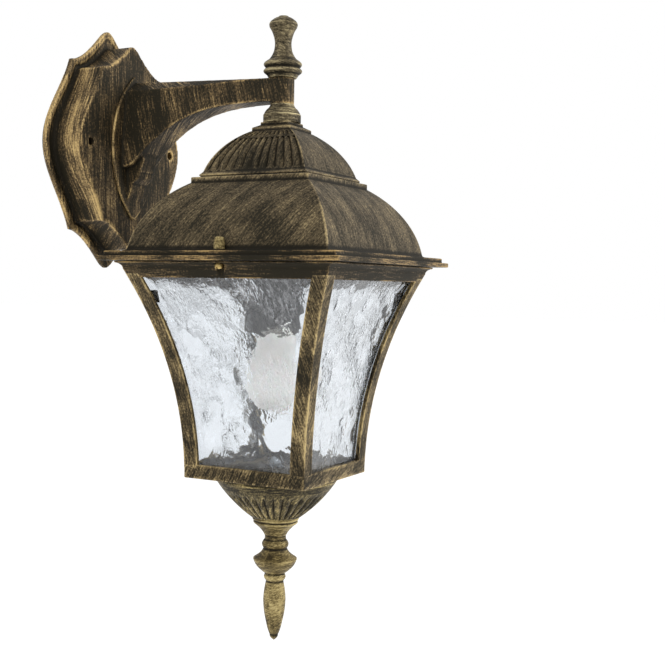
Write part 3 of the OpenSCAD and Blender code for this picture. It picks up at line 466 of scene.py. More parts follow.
def open_tree(name, source, settings):
    """A new tree with its named inputs and one geometry output."""
    tree = bpy.data.node_groups.new(name, "GeometryNodeTree")
    tree.interface.new_socket(source, in_out="INPUT", socket_type="NodeSocketGeometry")
    for label, kind, value in settings:
        socket = tree.interface.new_socket(label, in_out="INPUT", socket_type=f"NodeSocket{kind}")
        if value is not None:
            socket.default_value = value
    tree.interface.new_socket("Geometry", in_out="OUTPUT", socket_type="NodeSocketGeometry")
    return tree, add(tree, "NodeGroupInput").outputs


def close_tree(tree, shape, material):
    """Ends a tree in real geometry with its material."""
    real = add(tree, "GeometryNodeRealizeInstances", {"Geometry": shape})
    done = add(tree, "GeometryNodeSetMaterial", {"Geometry": real, "Material": material})
    add(tree, "NodeGroupOutput", {"Geometry": done})
    return tree


def form_tree(square):
    """Sweeps a profile round the lantern's axis. A square form follows a square with rounded corners, a turned one
    a circle; either can carry reeds, evenly spaced along each side, or along every other side, or all the way round."""
    tree, given = open_tree("Square casting" if square else "Turned casting", "Profile", (
        ("Columns", "Int", 96), ("Reeds", "Int", 0), ("Reed Depth", "Float", 0.0), ("Corner Radius", "Float", 0.8 * MM),
        ("Corner Crowding", "Float", 0.8), ("Plain Alternate", "Float", 0.0), ("Material", "Material", None),
    ))
    count = add(tree, "GeometryNodeAttributeDomainSize", {"Geometry": given["Profile"]}).outputs["Point Count"]
    more = add(tree, MATH, {0: given["Columns"], 1: 1.0}, operation="ADD")
    grid = add(tree, "GeometryNodeMeshGrid", {"Vertices X": more, "Vertices Y": count})
    index = add(tree, "GeometryNodeInputIndex")
    ratio = add(tree, MATH, {0: index, 1: count}, operation="DIVIDE")
    nudge = add(tree, MATH, {0: ratio, 1: 1e-5}, operation="ADD")
    column = add(tree, MATH, {0: nudge}, operation="FLOOR")
    gone = add(tree, MATH, {0: column, 1: count}, operation="MULTIPLY")
    row = add(tree, MATH, {0: index, 1: gone}, operation="SUBTRACT")
    share = add(tree, MATH, {0: column, 1: given["Columns"]}, operation="DIVIDE")
    read = {}
    for name in ("reed", "run"):
        value = add(tree, "GeometryNodeInputNamedAttribute", {"Name": name}, data_type="FLOAT")
        picked = {"Geometry": given["Profile"], "Value": value, "Index": row}
        read[name] = add(tree, "GeometryNodeSampleIndex", picked, data_type="FLOAT")
    place = add(tree, "GeometryNodeInputPosition")
    picked = {"Geometry": given["Profile"], "Value": place, "Index": row}
    at = add(tree, "GeometryNodeSampleIndex", picked, data_type="FLOAT_VECTOR")
    part = add(tree, "ShaderNodeSeparateXYZ", {"Vector": at})
    reach, level = part.outputs["X"], part.outputs["Z"]
    if square:
        four = add(tree, MATH, {0: share, 1: 3.99999}, operation="MULTIPLY")
        side = add(tree, MATH, {0: four}, operation="FLOOR")
        local = add(tree, MATH, {0: four, 1: side}, operation="SUBTRACT")
        even = add(tree, RANGE, {0: local, 3: -1.0, 4: 1.0})
        quarter = add(tree, MATH, {0: even, 1: math.pi / 2}, operation="MULTIPLY")
        sine = add(tree, MATH, {0: quarter}, operation="SINE")
        across = add(tree, MIX, {0: given["Corner Crowding"], 2: even, 3: sine}, data_type="FLOAT")
        width = add(tree, MATH, {0: across, 1: reach}, operation="MULTIPLY")
        radius = add(tree, MATH, {0: given["Corner Radius"], 1: reach}, operation="MINIMUM")
        limit = add(tree, MATH, {0: reach, 1: radius}, operation="SUBTRACT")
        under = add(tree, MATH, {0: limit, 1: -1.0}, operation="MULTIPLY")
        held = add(tree, "ShaderNodeClamp", {"Value": width, "Min": under, "Max": limit})
        sharp = add(tree, COMBINE, {"X": reach, "Y": width})
        core = add(tree, COMBINE, {"X": limit, "Y": held})
        gap = add(tree, VECTOR, {0: sharp, 1: core}, operation="SUBTRACT")
        outward = add(tree, VECTOR, {0: gap}, operation="NORMALIZE")
        wave = add(tree, RANGE, {0: across, 1: -1.0, 2: 1.0, 3: 0.0, 4: math.pi})
        lobes = add(tree, MATH, {0: wave, 1: given["Reeds"]}, operation="MULTIPLY")
    else:
        half = add(tree, MATH, {0: share, 1: math.pi}, operation="MULTIPLY")
        lobes = add(tree, MATH, {0: half, 1: given["Reeds"]}, operation="MULTIPLY")
        angle = add(tree, MATH, {0: share, 1: 2 * math.pi}, operation="MULTIPLY")
        cosine = add(tree, MATH, {0: angle}, operation="COSINE")
        sine = add(tree, MATH, {0: angle}, operation="SINE")
        outward = add(tree, COMBINE, {"X": cosine, "Y": sine})
    # A reed's section is a softened half cosine, sunk between the crests
    bump = lobes
    for step, by in (
        ("COSINE", None), ("ABSOLUTE", None), ("POWER", 0.85), ("SUBTRACT", 1.0), ("MULTIPLY", given["Reed Depth"]),
        ("MULTIPLY", read["reed"]),
    ):
        bump = add(tree, MATH, {0: bump} if by is None else {0: bump, 1: by}, operation=step)
    if square:
        odd = add(tree, MATH, {0: side, 1: 2.0}, operation="MODULO")
        plain = add(tree, MATH, {0: odd, 1: given["Plain Alternate"]}, operation="MULTIPLY")
        kept = add(tree, MATH, {0: 1.0, 1: plain}, operation="SUBTRACT")
        bump = add(tree, MATH, {0: bump, 1: kept}, operation="MULTIPLY")
        pushed = add(tree, MATH, {0: radius, 1: bump}, operation="ADD")
        step = add(tree, VECTOR, {0: outward, "Scale": pushed}, operation="SCALE")
        flat = add(tree, VECTOR, {0: core, 1: step}, operation="ADD")
        spin = add(tree, MATH, {0: side, 1: math.pi / 2}, operation="MULTIPLY")
        ring = add(tree, "ShaderNodeVectorRotate", {"Vector": flat, "Angle": spin}, rotation_type="Z_AXIS")
    else:
        radial = add(tree, MATH, {0: reach, 1: bump}, operation="ADD")
        ring = add(tree, VECTOR, {0: outward, "Scale": radial}, operation="SCALE")
    lift = add(tree, COMBINE, {"Z": level})
    where = add(tree, VECTOR, {0: ring, 1: lift}, operation="ADD")
    kept_run = {"Geometry": grid, "Name": "run", "Value": read["run"]}
    marked = add(tree, "GeometryNodeStoreNamedAttribute", kept_run, data_type="FLOAT", domain="POINT")
    moved = add(tree, "GeometryNodeSetPosition", {"Geometry": marked, "Position": where})
    merged = add(tree, "GeometryNodeMergeByDistance", {"Geometry": moved, "Distance": WELD})
    return close_tree(tree, merged, given["Material"])


def run_tree(obj, tree, values, name):
    """Runs a tree on the object with the named inputs, set by their identifiers, and keeps the plain mesh."""
    modifier = obj.modifiers.new("shape", "NODES")
    modifier.node_group = tree
    for socket in tree.interface.items_tree:
        if socket.in_out == "INPUT" and socket.name in values:
            modifier[socket.identifier] = values[socket.name]
    return baked(obj, name)


SQUARE, TURNED = form_tree(True), form_tree(False)
TURNED_MAP_R = 0.02  # metres: the radius at which a turned piece's stroke map is true to size


def lay_round(obj, square, angle):
    """Lays the stroke map round a form before it is moved: U runs along the brush, V across it. The angle gives the
    brush's slope in degrees for a side (0 right, 1 back, 2 left, 3 front) at a height in mm; 0 runs round, 90 up."""
    mesh = obj.data
    loops, face = corners_of(mesh)
    co = read_all(mesh.vertices, "co", 3)[loops]
    centre = read_all(mesh.polygons, "center", 3)
    bearing = np.arctan2(centre[:, 1], centre[:, 0])
    side = np.round(bearing / (math.pi / 2)).astype(int) % 4
    if square:
        tangent = np.array([(0, 1), (-1, 0), (0, -1), (1, 0)])[side][face]
        around = (co[:, :2] * tangent).sum(1)
    else:
        step = np.arctan2(co[:, 1], co[:, 0]) - bearing[face]
        around = (bearing[face] + (step + math.pi) % (2 * math.pi) - math.pi) * TURNED_MAP_R
    slope = np.radians(np.array([angle(s, z) for s, z in zip(side, centre[:, 2] / MM)], float))[face]
    up = read_all(mesh.attributes["run"].data, "value", kind=np.float32)[loops]
    write_strokes(mesh, around * np.cos(slope) + up * np.sin(slope), up * np.cos(slope) - around * np.sin(slope))


def form(
    name, points, material, square=False, reed=lambda r, z: 0.0, centre=AXIS, brush=lambda side, z: 0.0, **values,
):
    """A square or turned casting from a profile in mm, moved onto the lantern's axis."""
    obj = profile_object(points, reed)
    obj = run_tree(obj, SQUARE if square else TURNED, {"Material": material, **values}, name)
    facing_out(obj)
    lay_round(obj, square, brush)
    obj.data.transform(Matrix.Translation(centre))
    return obj


def repaint(obj, material, test):
    """Puts the second finish on the faces whose centre passes the test."""
    obj.data.materials.append(material)
    last = len(obj.data.materials) - 1
    for face in obj.data.polygons:
        if test(face.center):
            face.material_index = last


def joined(name, pieces, keep=False):
    """Several meshes as one piece, in the first one's finish, or each in its own."""
    finishes = [p.data.materials[-1] for p in pieces]
    slots = list(dict.fromkeys(finishes)) if keep else finishes[:1]
    work = bmesh.new()
    for p, own in zip(pieces, finishes):
        start = len(work.faces)
        work.from_mesh(p.data)
        work.faces.ensure_lookup_table()
        for f in work.faces[start:]:
            f.material_index = slots.index(own) if keep else 0
    mesh = bpy.data.meshes.new(name)
    work.to_mesh(mesh)
    work.free()
    for own in slots:
        mesh.materials.append(own)
    for p in pieces:
        bpy.data.objects.remove(p)
    return placed(name, mesh)


def rod(centre, radius, height):
    """A plain upright round cutter, with its place in metres and its sizes in mm."""
    work = bmesh.new()
    bmesh.ops.create_cone(
        work, cap_ends=True, segments=32, radius1=radius * MM, radius2=radius * MM, depth=height * MM
    )
    bmesh.ops.translate(work, verts=work.verts, vec=centre)
    mesh = bpy.data.meshes.new("cutter")
    work.to_mesh(mesh)
    work.free()
    return placed("cutter", mesh)


def drilled(obj, cutters):
    """Cuts holes in a closed piece of one finish."""
    name, finish = obj.name, obj.data.materials[-1]
    for cutter in cutters:
        cut = obj.modifiers.new("cut", "BOOLEAN")
        cut.operation, cut.solver, cut.object = "DIFFERENCE", "EXACT", cutter
    baked(obj, name)
    obj.data.materials.clear()
    obj.data.materials.append(finish)
    obj.data.polygons.foreach_set("material_index", [0] * len(obj.data.polygons))
    for cutter in cutters:
        bpy.data.objects.remove(cutter)
    return obj


def edge_wear_and_hollow_shade(obj, radius=0.9, spread=2.2, passes=8):
    """Stores how sharply each point stands out, for the gold on edges, or lies in a hollow, for the bare paint and
    painted shade there, and lets it fade over the spread, in mm.
    """
    mesh = obj.data
    co = read_all(mesh.vertices, "co", 3) / MM
    normal = read_all(mesh.vertices, "normal", 3)
    a, b = read_all(mesh.edges, "vertices", 2, int).T
    a, b = np.concatenate([a, b]), np.concatenate([b, a])
    gap = co[a] - co[b]
    length = np.maximum(np.linalg.norm(gap, axis=1), 0.05)
    bend = 2 * (normal[a] * gap).sum(1) / length**2
    for name, sign in (("wear", 1), ("hollow", -1)):
        value = np.zeros(len(co))
        np.maximum.at(value, a, np.clip(sign * bend * radius, 0, 1.2))
        value = np.clip((value - 0.25) / 0.75, 0, 1)
        for _ in range(passes):
            grown = value.copy()
            np.maximum.at(grown, a, value[b] - length / spread)
            value = grown
        layer = mesh.attributes.get(name) or mesh.attributes.new(name, "FLOAT", "POINT")
        layer.data.foreach_set("value", value.astype(np.float32))
    return obj


def lay_strokes(obj, direction):
    """Lays the stroke map over a mesh: U runs along the brush, V across it, on whichever side each face looks."""
    mesh = obj.data
    brush = np.array(direction, float) / np.linalg.norm(direction)
    normals = read_all(mesh.polygons, "normal", 3)
    # Each face takes the side axis it looks along, so neighbours share one unbroken map
    face = np.eye(3)[np.abs(normals).argmax(1)]
    across = np.cross(face, brush)
    weak = np.linalg.norm(across, axis=1) < 0.3
    across[weak] = np.cross(face[weak], np.array([0.3, 0.5, 0.81]))
    across /= np.linalg.norm(across, axis=1)[:, None]
    along = np.cross(across, face)
    loops, per = corners_of(mesh)
    co = read_all(mesh.vertices, "co", 3)[loops]
    write_strokes(mesh, (co * along[per]).sum(1), (co * across[per]).sum(1))
    return obj


def copy_of(node, name):
    """The CAD node's shape as a new piece, with its loose triangles joined."""
    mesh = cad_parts[node].data.copy()
    edited(mesh, welded)
    mesh.materials.clear()
    return placed(name, mesh)


def cast_from(node, name, grain, material, direction):
    """A casting with softened edges, from the CAD shape, with an even skin of cells of the given size in mm."""
    obj = copy_of(node, name)
    skin = obj.modifiers.new("skin", "REMESH")
    skin.mode, skin.voxel_size = "VOXEL", grain * MM
    soft = obj.modifiers.new("soft", "SMOOTH")
    soft.factor, soft.iterations = 0.5, 5
    baked(obj, name)
    facing_out(obj)
    obj.data.materials.append(material)
    return lay_strokes(obj, direction)


def eased(node, name, material, width):
    """A small fitting from the CAD shape, with every sharp edge broken by a fine bevel."""
    obj = copy_of(node, name)
    edited(obj.data, lambda work: bmesh.ops.dissolve_limit(
        work, angle_limit=math.radians(3), verts=work.verts, edges=work.edges
    ))
    bevel = obj.modifiers.new("eased", "BEVEL")
    bevel.width, bevel.segments, bevel.limit_method, bevel.angle_limit = width * MM, 2, "ANGLE", math.radians(34)
    baked(obj, name)
    obj.data.materials.append(material)
    return obj


def declared(obj, body, node):
    """Says which body a piece rides on and the CAD node that it stands in for."""
    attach(obj, body)
    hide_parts(node)
    return obj


def finish_piece(obj, body, node):
    """Smooth shading, with edges sharper than 38 degrees left crisp, and the piece's declarations."""
    obj.data.polygons.foreach_set("use_smooth", [True] * len(obj.data.polygons))
    obj.data.set_sharp_from_angle(angle=math.radians(38))
    return declared(obj, body, node)


# ---- Roof and dome ------------------------------------------------------------------------

TUBE_BORE_R = 5.2
base_half, ring_half, roof_r, roof_wall = 73.4, 43.8, 65.1, 2.6
sweep_foot, sweep_top, roof_top = 5.1, 49.2, 52.9
inner_half = base_half - roof_wall - 2
sweep = arc((base_half, sweep_foot), (ring_half, sweep_top), roof_r, 1, 26)
inner_sweep = arc(
    (base_half - roof_wall, sweep_foot), (ring_half - roof_wall, sweep_top - roof_wall), roof_r - roof_wall, 1, 14
)
roof_profile = [
    (inner_half, -RIM_STEP_T), (RIM_HALF, -RIM_STEP_T), (RIM_HALF, 0), (84, 0.1), (84, 3.2),
    (base_half + 2.6, 3.5), (base_half + 0.5, 4.2), *sweep, (ring_half, roof_top), (TUBE_BORE_R, roof_top),
    (TUBE_BORE_R, 50), (38.2, 50), *reversed(inner_sweep), (inner_half, 0), (inner_half, -RIM_STEP_T),
]
roof = form(
    "roof_casting", rounded(roof_profile, 0.7, closed=True, step=2.6), CAST, square=True,
    brush=lambda side, z: 3 if z < 4.5 else (118, 84, 56, 90)[side],
    Columns=256, **{"Corner Radius": 0.9 * MM, "Corner Crowding": 0.86},
)
SCREW_X, BOSS_BORE_R = 76.6, 2.3
screw_spots = [AXIS + Vector((s * SCREW_X * MM, 0, 0)) for s in (-1, 1)]
boss = [(0, 9), (BOSS_BORE_R, 9), (BOSS_BORE_R, 0.2), (3.5, 0.2), (3.5, 8.8), (2.9, 11.2), (1.6, 12), (0, 12)]
bosses = [form("boss", rounded(boss, 0.6, step=1.0), CAST_GOLD, Columns=40, centre=spot) for spot in screw_spots]
roof = drilled(roof, [rod(spot + Vector((0, 0, 3 * MM)), BOSS_BORE_R, 14) for spot in screw_spots])
roof = joined("roof_casting", [roof, *bosses], keep=True)
rim_paint_top, plate_reach = AXIS.z + 4.4 * MM, 90 * MM
repaint(roof, CAST_BAND, lambda p: p.z < rim_paint_top and abs(p.x - AXIS.x) < plate_reach)

foot_half = 40.0
dome_arc = arc((38.1, DOME_FOOT), (15.9, DOME_TOP - 0.4), 49.7, 1, 22)
dome_profile = [
    (foot_half - 3, 53.8), (foot_half, 53.8), (foot_half, 54.7), (39, 55.8), *dome_arc,
    (14.9, DOME_TOP), (14.9, DOME_TOP + 2.2), (10.7, DOME_TOP + 4.4), (10.7, COLLAR_FOOT), (TUBE_BORE_R, COLLAR_FOOT),
    (TUBE_BORE_R, DOME_TOP - 1), (12, DOME_TOP - 3.4),
    *reversed(arc((34.6, DOME_FOOT), (13, DOME_TOP - 4.4), 46, 1, 12)), (foot_half - 3, 53.8),
]


def dome_reed(r, z):
    """The reeds start just above the dome's foot and stop just under the plinth, with rounded ends."""
    outside = r > 15.5 and z > DOME_FOOT + 0.3 and r > np.interp(z, [56, 62, 70, 80, 85.2], [36, 35.5, 31, 23, 15])
    return float(outside) * min(1, (z - DOME_FOOT) / 2.2) * min(1, max(0, (DOME_TOP - 0.8 - z) / 1.6))


dome = form(
    "fluted_dome_casting", rounded(dome_profile, 0.5, closed=True, step=1.5), CAST, square=True, reed=dome_reed,
    brush=lambda side, z: 90 if DOME_FOOT < z < DOME_TOP else 4,
    Columns=480, Reeds=12,
    **{"Reed Depth": 2.3 * MM, "Corner Radius": 0.9 * MM, "Corner Crowding": 0.25, "Plain Alternate": 1.0},
)

# ---- Column, finials and bowl ---------------------------------------------------------------

collar_profile = [
    (TUBE_BORE_R, 0), (12.7, 0), (12.7, 5.4), *swell((12.2, 6), (10.2, 9.2), 0.2), *swell((9.6, 9.6), (8, 12.5), -0.3),
    (TUBE_BORE_R, 12.5), (TUBE_BORE_R, 0),
]
collar = form(
    "lower_collar_turned", rounded(raised(collar_profile, COLLAR_FOOT), 0.4, closed=True, step=1.0), CAST_TURNED,
    Columns=96,
)
top_profile = [
    (0, 9), (TUBE_BORE_R, 9), (TUBE_BORE_R, 0), (9.4, 0), (10.8, 2.3), *swell((10.9, 2.4), (11.4, 6.6), 1.9),
    *swell((11.5, 7), (10, 12), 2.1), *swell((9.1, 12.7), (6.2, 18), -0.3), *swell((6.2, 18), (6.8, 29.2), -0.9),
    *swell((6.8, 29.2), (9, 33.5), -0.2), *swell((9.2, 33.9), (5.4, 40.1), 1.9), (3.4, 40.1), (3.4, 41.3),
    (2.4, 41.5), (0, 41.5),
]
top_finial = form(
    "top_finial_turned", rounded(raised(top_profile, COLUMN_TOP), 0.45, step=1.0), CAST_TURNED, Columns=96
)

STUD_BORE_R = 3.2
bowl_lip, bowl_floor = BOWL_TOP - 3, BOWL_FOOT + 2.5
bowl_outer = arc((17, BOWL_FOOT), (41, bowl_lip), 95, 1, 24)
bowl_inner = arc((14.5, bowl_floor), (37.8, bowl_lip), 95, 1, 14)
bowl_profile = [
    (STUD_BORE_R, BOWL_FOOT), (15, BOWL_FOOT), *bowl_outer, (41.3, bowl_lip + 0.5), (41.3, BOWL_TOP), (37.8, BOWL_TOP),
    *reversed(bowl_inner), (STUD_BORE_R, bowl_floor), (STUD_BORE_R, BOWL_FOOT),
]


def bowl_reed(r, z):
    """The flutes run over the outside, from a narrow ring at the foot up to the smooth band under the cage."""
    outside = r > np.interp(z, [BOWL_FOOT, bowl_lip], [17, 41]) - 0.7
    return float(outside) * min(1, max(0, (z - BOWL_FOOT - 0.6) / 2)) * min(1, max(0, (BOWL_TOP - 9.6 - z) / 2.6))


bowl = form(
    "fluted_bowl_casting", rounded(bowl_profile, 0.5, closed=True, step=1.2), CAST_BOWL, reed=bowl_reed,
    brush=lambda side, z: 88 if z < BOWL_TOP - 8 else 3, Columns=408, Reeds=34, **{"Reed Depth": 1.9 * MM},
)

drop_profile = [
    (0, -24), (STUD_BORE_R, -24), (STUD_BORE_R, 0),
    # cup under the bowl, neck, bead and sharp-rimmed disc
    *swell((15.5, 0), (15.4, -2.2), 0.5, 6), *swell((14.8, -2.6), (14.2, -5), 0.7, 6),
    *swell((13.8, -5.2), (7.3, -13), -0.8), (7.1, -13), (7.4, -16), *swell((7.9, -16.2), (7.9, -21.8), 1.2),
    *swell((8.2, -22.2), (14.9, -28.6), -1.1), *swell((14.9, -29.4), (7.4, -38.6), 1.3, 12), (7, -38.8), (6.6, -39.4),
    # ring and the long drop
    *swell((6.9, -39.6), (6.4, -43.6), 0.8, 6), *swell((6, -44.4), (7.7, -57), 0.3, 6),
    *swell((7.7, -57), (5.4, -73.3), 0.5, 8), *swell((5.4, -73.3), (2.9, -81.3), 0.3, 5),
    *swell((2.9, -81.3), (0, -85.4), 0.9, 6),
]
drop = form("drop_finial_turned", rounded(raised(drop_profile, DROP_TOP), 0.4, step=1.0), CAST_GOLD, Columns=96)

# ---- Cage ---------------------------------------------------------------------------------

rail_profile = [
    (STUD_BORE_R, CAGE_FOOT), *cage_side(CAGE_FOOT, WINDOW_FOOT, 0, 4),
    *reversed(cage_side(CAGE_FOOT + WALL, WINDOW_FOOT, WALL, 4)), (STUD_BORE_R, CAGE_FOOT + WALL),
    (STUD_BORE_R, CAGE_FOOT),
]
band_profile = [
    *cage_side(WINDOW_TOP, NECK, 0, 5), *arc((NECK_HALF, NECK), (FLANGE_HALF, NECK + 3.9), 4.1, -1, 6),
    (FLANGE_HALF, CAGE_TOP), (NECK_HALF, CAGE_TOP), (NECK_HALF, CAGE_TOP - 1), (NECK_HALF - 3.4, CAGE_TOP - 1),
    *reversed(cage_side(WINDOW_TOP, NECK, WALL, 5)), (cage_half(WINDOW_TOP), WINDOW_TOP),
]
cage_corners = {"Corner Radius": 0.8 * MM, "Corner Crowding": 0.86}
rail = form(
    "rail", rounded(rail_profile, 0.6, closed=True, step=2.0), CAST_FRAME, square=True, Columns=200,
    brush=lambda side, z: (70, 80, 66, 24)[side], **cage_corners,
)
band = form(
    "band", rounded(band_profile, 0.6, closed=True, step=1.2), CAST_BAND, square=True, Columns=256,
    brush=lambda side, z: 3, **cage_corners,
)


def corner_post(sx, sy):
    """One L-shaped corner post, swept up the flare from the rail into the top band."""
    levels = np.linspace(WINDOW_FOOT - 2.5, WINDOW_TOP + 2.5, 70)
    rings = []
    for z in levels:
        h = cage_half(z)
        shape = [(h, h), (h - POST, h), (h - POST, h - WALL), (h - WALL, h - WALL), (h - WALL, h - POST), (h, h - POST)]
        ring = rounded(shape, 0.6, closed=True, step=1.3)[:-1]
        rings.append([(sx * p[0] * MM, sy * p[1] * MM, z * MM) for p in ring])
    m = min(len(r) for r in rings)
    points = [p for r in rings for p in r[:m]]
    faces = [
        (i * m + k, i * m + (k + 1) % m, (i + 1) * m + (k + 1) % m, (i + 1) * m + k)
        for i in range(len(rings) - 1) for k in range(m)
    ]
    faces += [tuple(range(m - 1, -1, -1)), tuple((len(rings) - 1) * m + k for k in range(m))]
    post = mesh_object("post", points, faces)
    post.data.transform(Matrix.Translation(AXIS))
    post.data.materials.append(CAST_FRAME)
    facing_out(post)
    return lay_strokes(post, (0.25, 0.2, 1))


posts = [corner_post(sx, sy) for sx in (-1, 1) for sy in (-1, 1)]
SCREW_SEAT, SCREW_HOLE_R = CAGE_TOP - 1.5, 2.06
head_low, head_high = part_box("cage_screw_left")
head_r = (head_high.x - head_low.x) / 2 / MM
cutters = []
for spot in screw_spots:
    cutters.append(rod(spot + Vector((0, 0, (SCREW_SEAT + NECK - 4) / 2 * MM)), head_r + 0.6, SCREW_SEAT - NECK + 4))
    cutters.append(rod(spot + Vector((0, 0, CAGE_TOP * MM)), SCREW_HOLE_R, 12))
band = drilled(band, cutters)
cage = joined("cage_casting", [rail, band, *posts], keep=True)

# ---- Arm and wall plate -----------------------------------------------------------------------

plate = cast_from("wall_plate", "wall_plate_casting", 1.0, CAST_PLATE, (0.02, 0, 1))
arm = cast_from("arm_bracket", "arm_casting", 0.75, CAST_PLATE, (0.0, 0.18, 1))


def brush_bulge(obj, level, spread, amount):
    """Adds gold where the brush ran over the bulging sides of the plate's raised body, most at mid height, and rubs
    the foot of the plate to gold. The level and the spread are in mm."""
    wear = obj.data.attributes["wear"].data
    low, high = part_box("wall_plate")
    front, flange, foot = low.y + 2 * MM, high.y - 7 * MM, low.z + 7 * MM
    for v in obj.data.vertices:
        if abs(v.normal.x) > 0.55 and front < v.co.y < flange:
            toward = 1 - (v.co.y - front) / (flange - front)
            bell = math.exp(-(((v.co.z / MM - level) / spread) ** 2))
            wear[v.index].value = min(1.2, wear[v.index].value + amount * bell * (0.35 + 0.65 * toward))
        if v.co.z < foot:
            wear[v.index].value = 1.2


# ---- Glass --------------------------------------------------------------------------------


def glass_tree():
    """Raises the lumps of rolled glass: rounded cells with soft creases between them, over a slower swell."""
    tree, given = open_tree("Rolled glass", "Pane", (
        ("Lump Size", "Float", 17 * MM), ("Lump Height", "Float", 0.7 * MM), ("Swell Height", "Float", 0.4 * MM),
        ("Seed", "Float", 3.0), ("Material", "Material", None),
    ))
    spot = add(tree, "GeometryNodeInputPosition")
    count = add(tree, MATH, {0: 1.0, 1: given["Lump Size"]}, operation="DIVIDE")
    shift = add(tree, NOISE, {"Vector": spot, "Scale": 60.0, "Detail": 1.0}, noise_dimensions="3D")
    drift = add(tree, VECTOR, {0: shift.outputs["Color"], "Scale": 10 * MM}, operation="SCALE")
    moved = add(tree, VECTOR, {0: spot, 1: drift}, operation="ADD")
    cells = add(
        tree, "ShaderNodeTexVoronoi", {"Vector": moved, "W": given["Seed"], "Scale": count, "Smoothness": 0.2},
        voronoi_dimensions="4D", feature="SMOOTH_F1",
    )
    dome = add(tree, RANGE, {0: cells.outputs["Distance"], 1: 0.15, 2: 0.75, 3: 0.0, 4: -1.0})
    lumps = add(tree, MATH, {0: dome, 1: given["Lump Height"]}, operation="MULTIPLY")
    slow = add(
        tree, NOISE, {"Vector": spot, "W": given["Seed"], "Scale": 38.0, "Detail": 1.0}, noise_dimensions="4D"
    )
    lower = add(tree, MATH, {0: slow.outputs["Fac"], 1: 1.0}, operation="SUBTRACT")
    total = add(tree, MATH, {0: lower, 1: given["Swell Height"], 2: lumps}, operation="MULTIPLY_ADD")
    skin = add(tree, "GeometryNodeInputNamedAttribute", {"Name": "skin"}, data_type="FLOAT")
    weighed = add(tree, MATH, {0: total, 1: skin}, operation="MULTIPLY")
    out = add(tree, "GeometryNodeInputNamedAttribute", {"Name": "out"}, data_type="FLOAT_VECTOR")
    offset = add(tree, VECTOR, {0: out, "Scale": weighed}, operation="SCALE")
    bent = add(tree, "GeometryNodeSetPosition", {"Geometry": given["Pane"], "Offset": offset})
    return close_tree(tree, bent, given["Material"])


ROLLED = glass_tree()
GLASS_GAP, GLASS_T = 0.4, 3.0


def pane(name, node, quarter, seed):
    """One bent pane: a smooth-backed sheet that follows the flare, with its lumps on the outside."""
    rows, cols = 112, 104
    points, skin, out = [], [], []
    for side, face_inset in ((1.0, WALL + GLASS_GAP), (-1.0, WALL + GLASS_GAP + GLASS_T)):
        for i in range(rows + 1):
            z = PANE_FOOT + (PANE_TOP - PANE_FOOT) * i / rows
            h = cage_half(z)
            slope = cage_half(z + 0.5) - cage_half(z - 0.5)
            n = Vector((1, 0, -slope)).normalized() * side
            half = h - WALL - GLASS_T - 2 * GLASS_GAP
            for k in range(cols + 1):
                u = -1 + 2 * k / cols
                points.append(((h - face_inset) * MM, half * u * MM, z * MM))
                rim = min(1.0, 12 * min(i / rows, 1 - i / rows, k / cols, 1 - k / cols))
                skin.append(rim * (1.0 if side > 0 else 0.0))
                out.append(tuple(n))
    w = cols + 1
    sheet = (rows + 1) * w
    faces = []
    for i in range(rows):
        for k in range(cols):
            a = i * w + k
            faces.append((a, a + 1, a + w + 1, a + w))
            faces.append(tuple(sheet + v for v in (a, a + w, a + w + 1, a + 1)))
    rim = [*range(w), *(i * w + cols for i in range(1, rows + 1))]
    rim += [*(rows * w + k for k in range(cols - 1, -1, -1)), *(i * w for i in range(rows - 1, 0, -1))]
    faces += [(a, sheet + a, sheet + b, b) for a, b in zip(rim, rim[1:] + rim[:1])]
    obj = mesh_object(name, points, faces)
    weights, ways = np.array(skin, np.float32), np.array(out, np.float32).ravel()
    obj.data.attributes.new("skin", "FLOAT", "POINT").data.foreach_set("value", weights)
    obj.data.attributes.new("out", "FLOAT_VECTOR", "POINT").data.foreach_set("vector", ways)
    sizes = {"Lump Size": 13.5 * MM, "Lump Height": 0.95 * MM, "Swell Height": 0.7 * MM}
    obj = run_tree(obj, ROLLED, {**sizes, "Seed": seed, "Material": GLASS}, name)
    obj.data.transform(Matrix.Translation(AXIS) @ Matrix.Rotation(quarter * math.pi / 2, 4, "Z"))
    facing_out(obj)
    obj.data.polygons.foreach_set("use_smooth", [True] * len(obj.data.polygons))
    return declared(obj, "cage", node)


for side_name, quarter, seed in (("right", 0, 3.1), ("back", 1, 8.7), ("left", 2, 14.3), ("front", 3, 21.9)):
    pane(f"rippled_pane_{side_name}", f"glass_{side_name}", quarter, seed)

# ---- Lampholder and lamp --------------------------------------------------------------------

ring_profile = [(19.1, 0), (23, 0), (23, 2.2), (21.2, 2.6), (21.2, 7), (19.1, 7), (19.1, 0)]
ring_foot = (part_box("holder_ring")[0].z - AXIS.z) / MM
holder_ring = form(
    "holder_ring_knurled", rounded(raised(ring_profile, ring_foot), 0.3, closed=True, step=1.0), PHENOLIC,
    reed=lambda r, z: float(r > 20.9), Columns=288, Reeds=48, **{"Reed Depth": 0.6 * MM},
)
holder_profile = [(16, 0), (19, 0), (19, 34.9), (17.9, 35), (17.9, 40.8), (16, 40.8), (16, 0)]
holder_foot = (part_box("holder_body")[0].z - AXIS.z) / MM
holder = form(
    "holder_body_turned", rounded(raised(holder_profile, holder_foot), 0.5, closed=True, step=2.0), PHENOLIC,
    Columns=96,
)

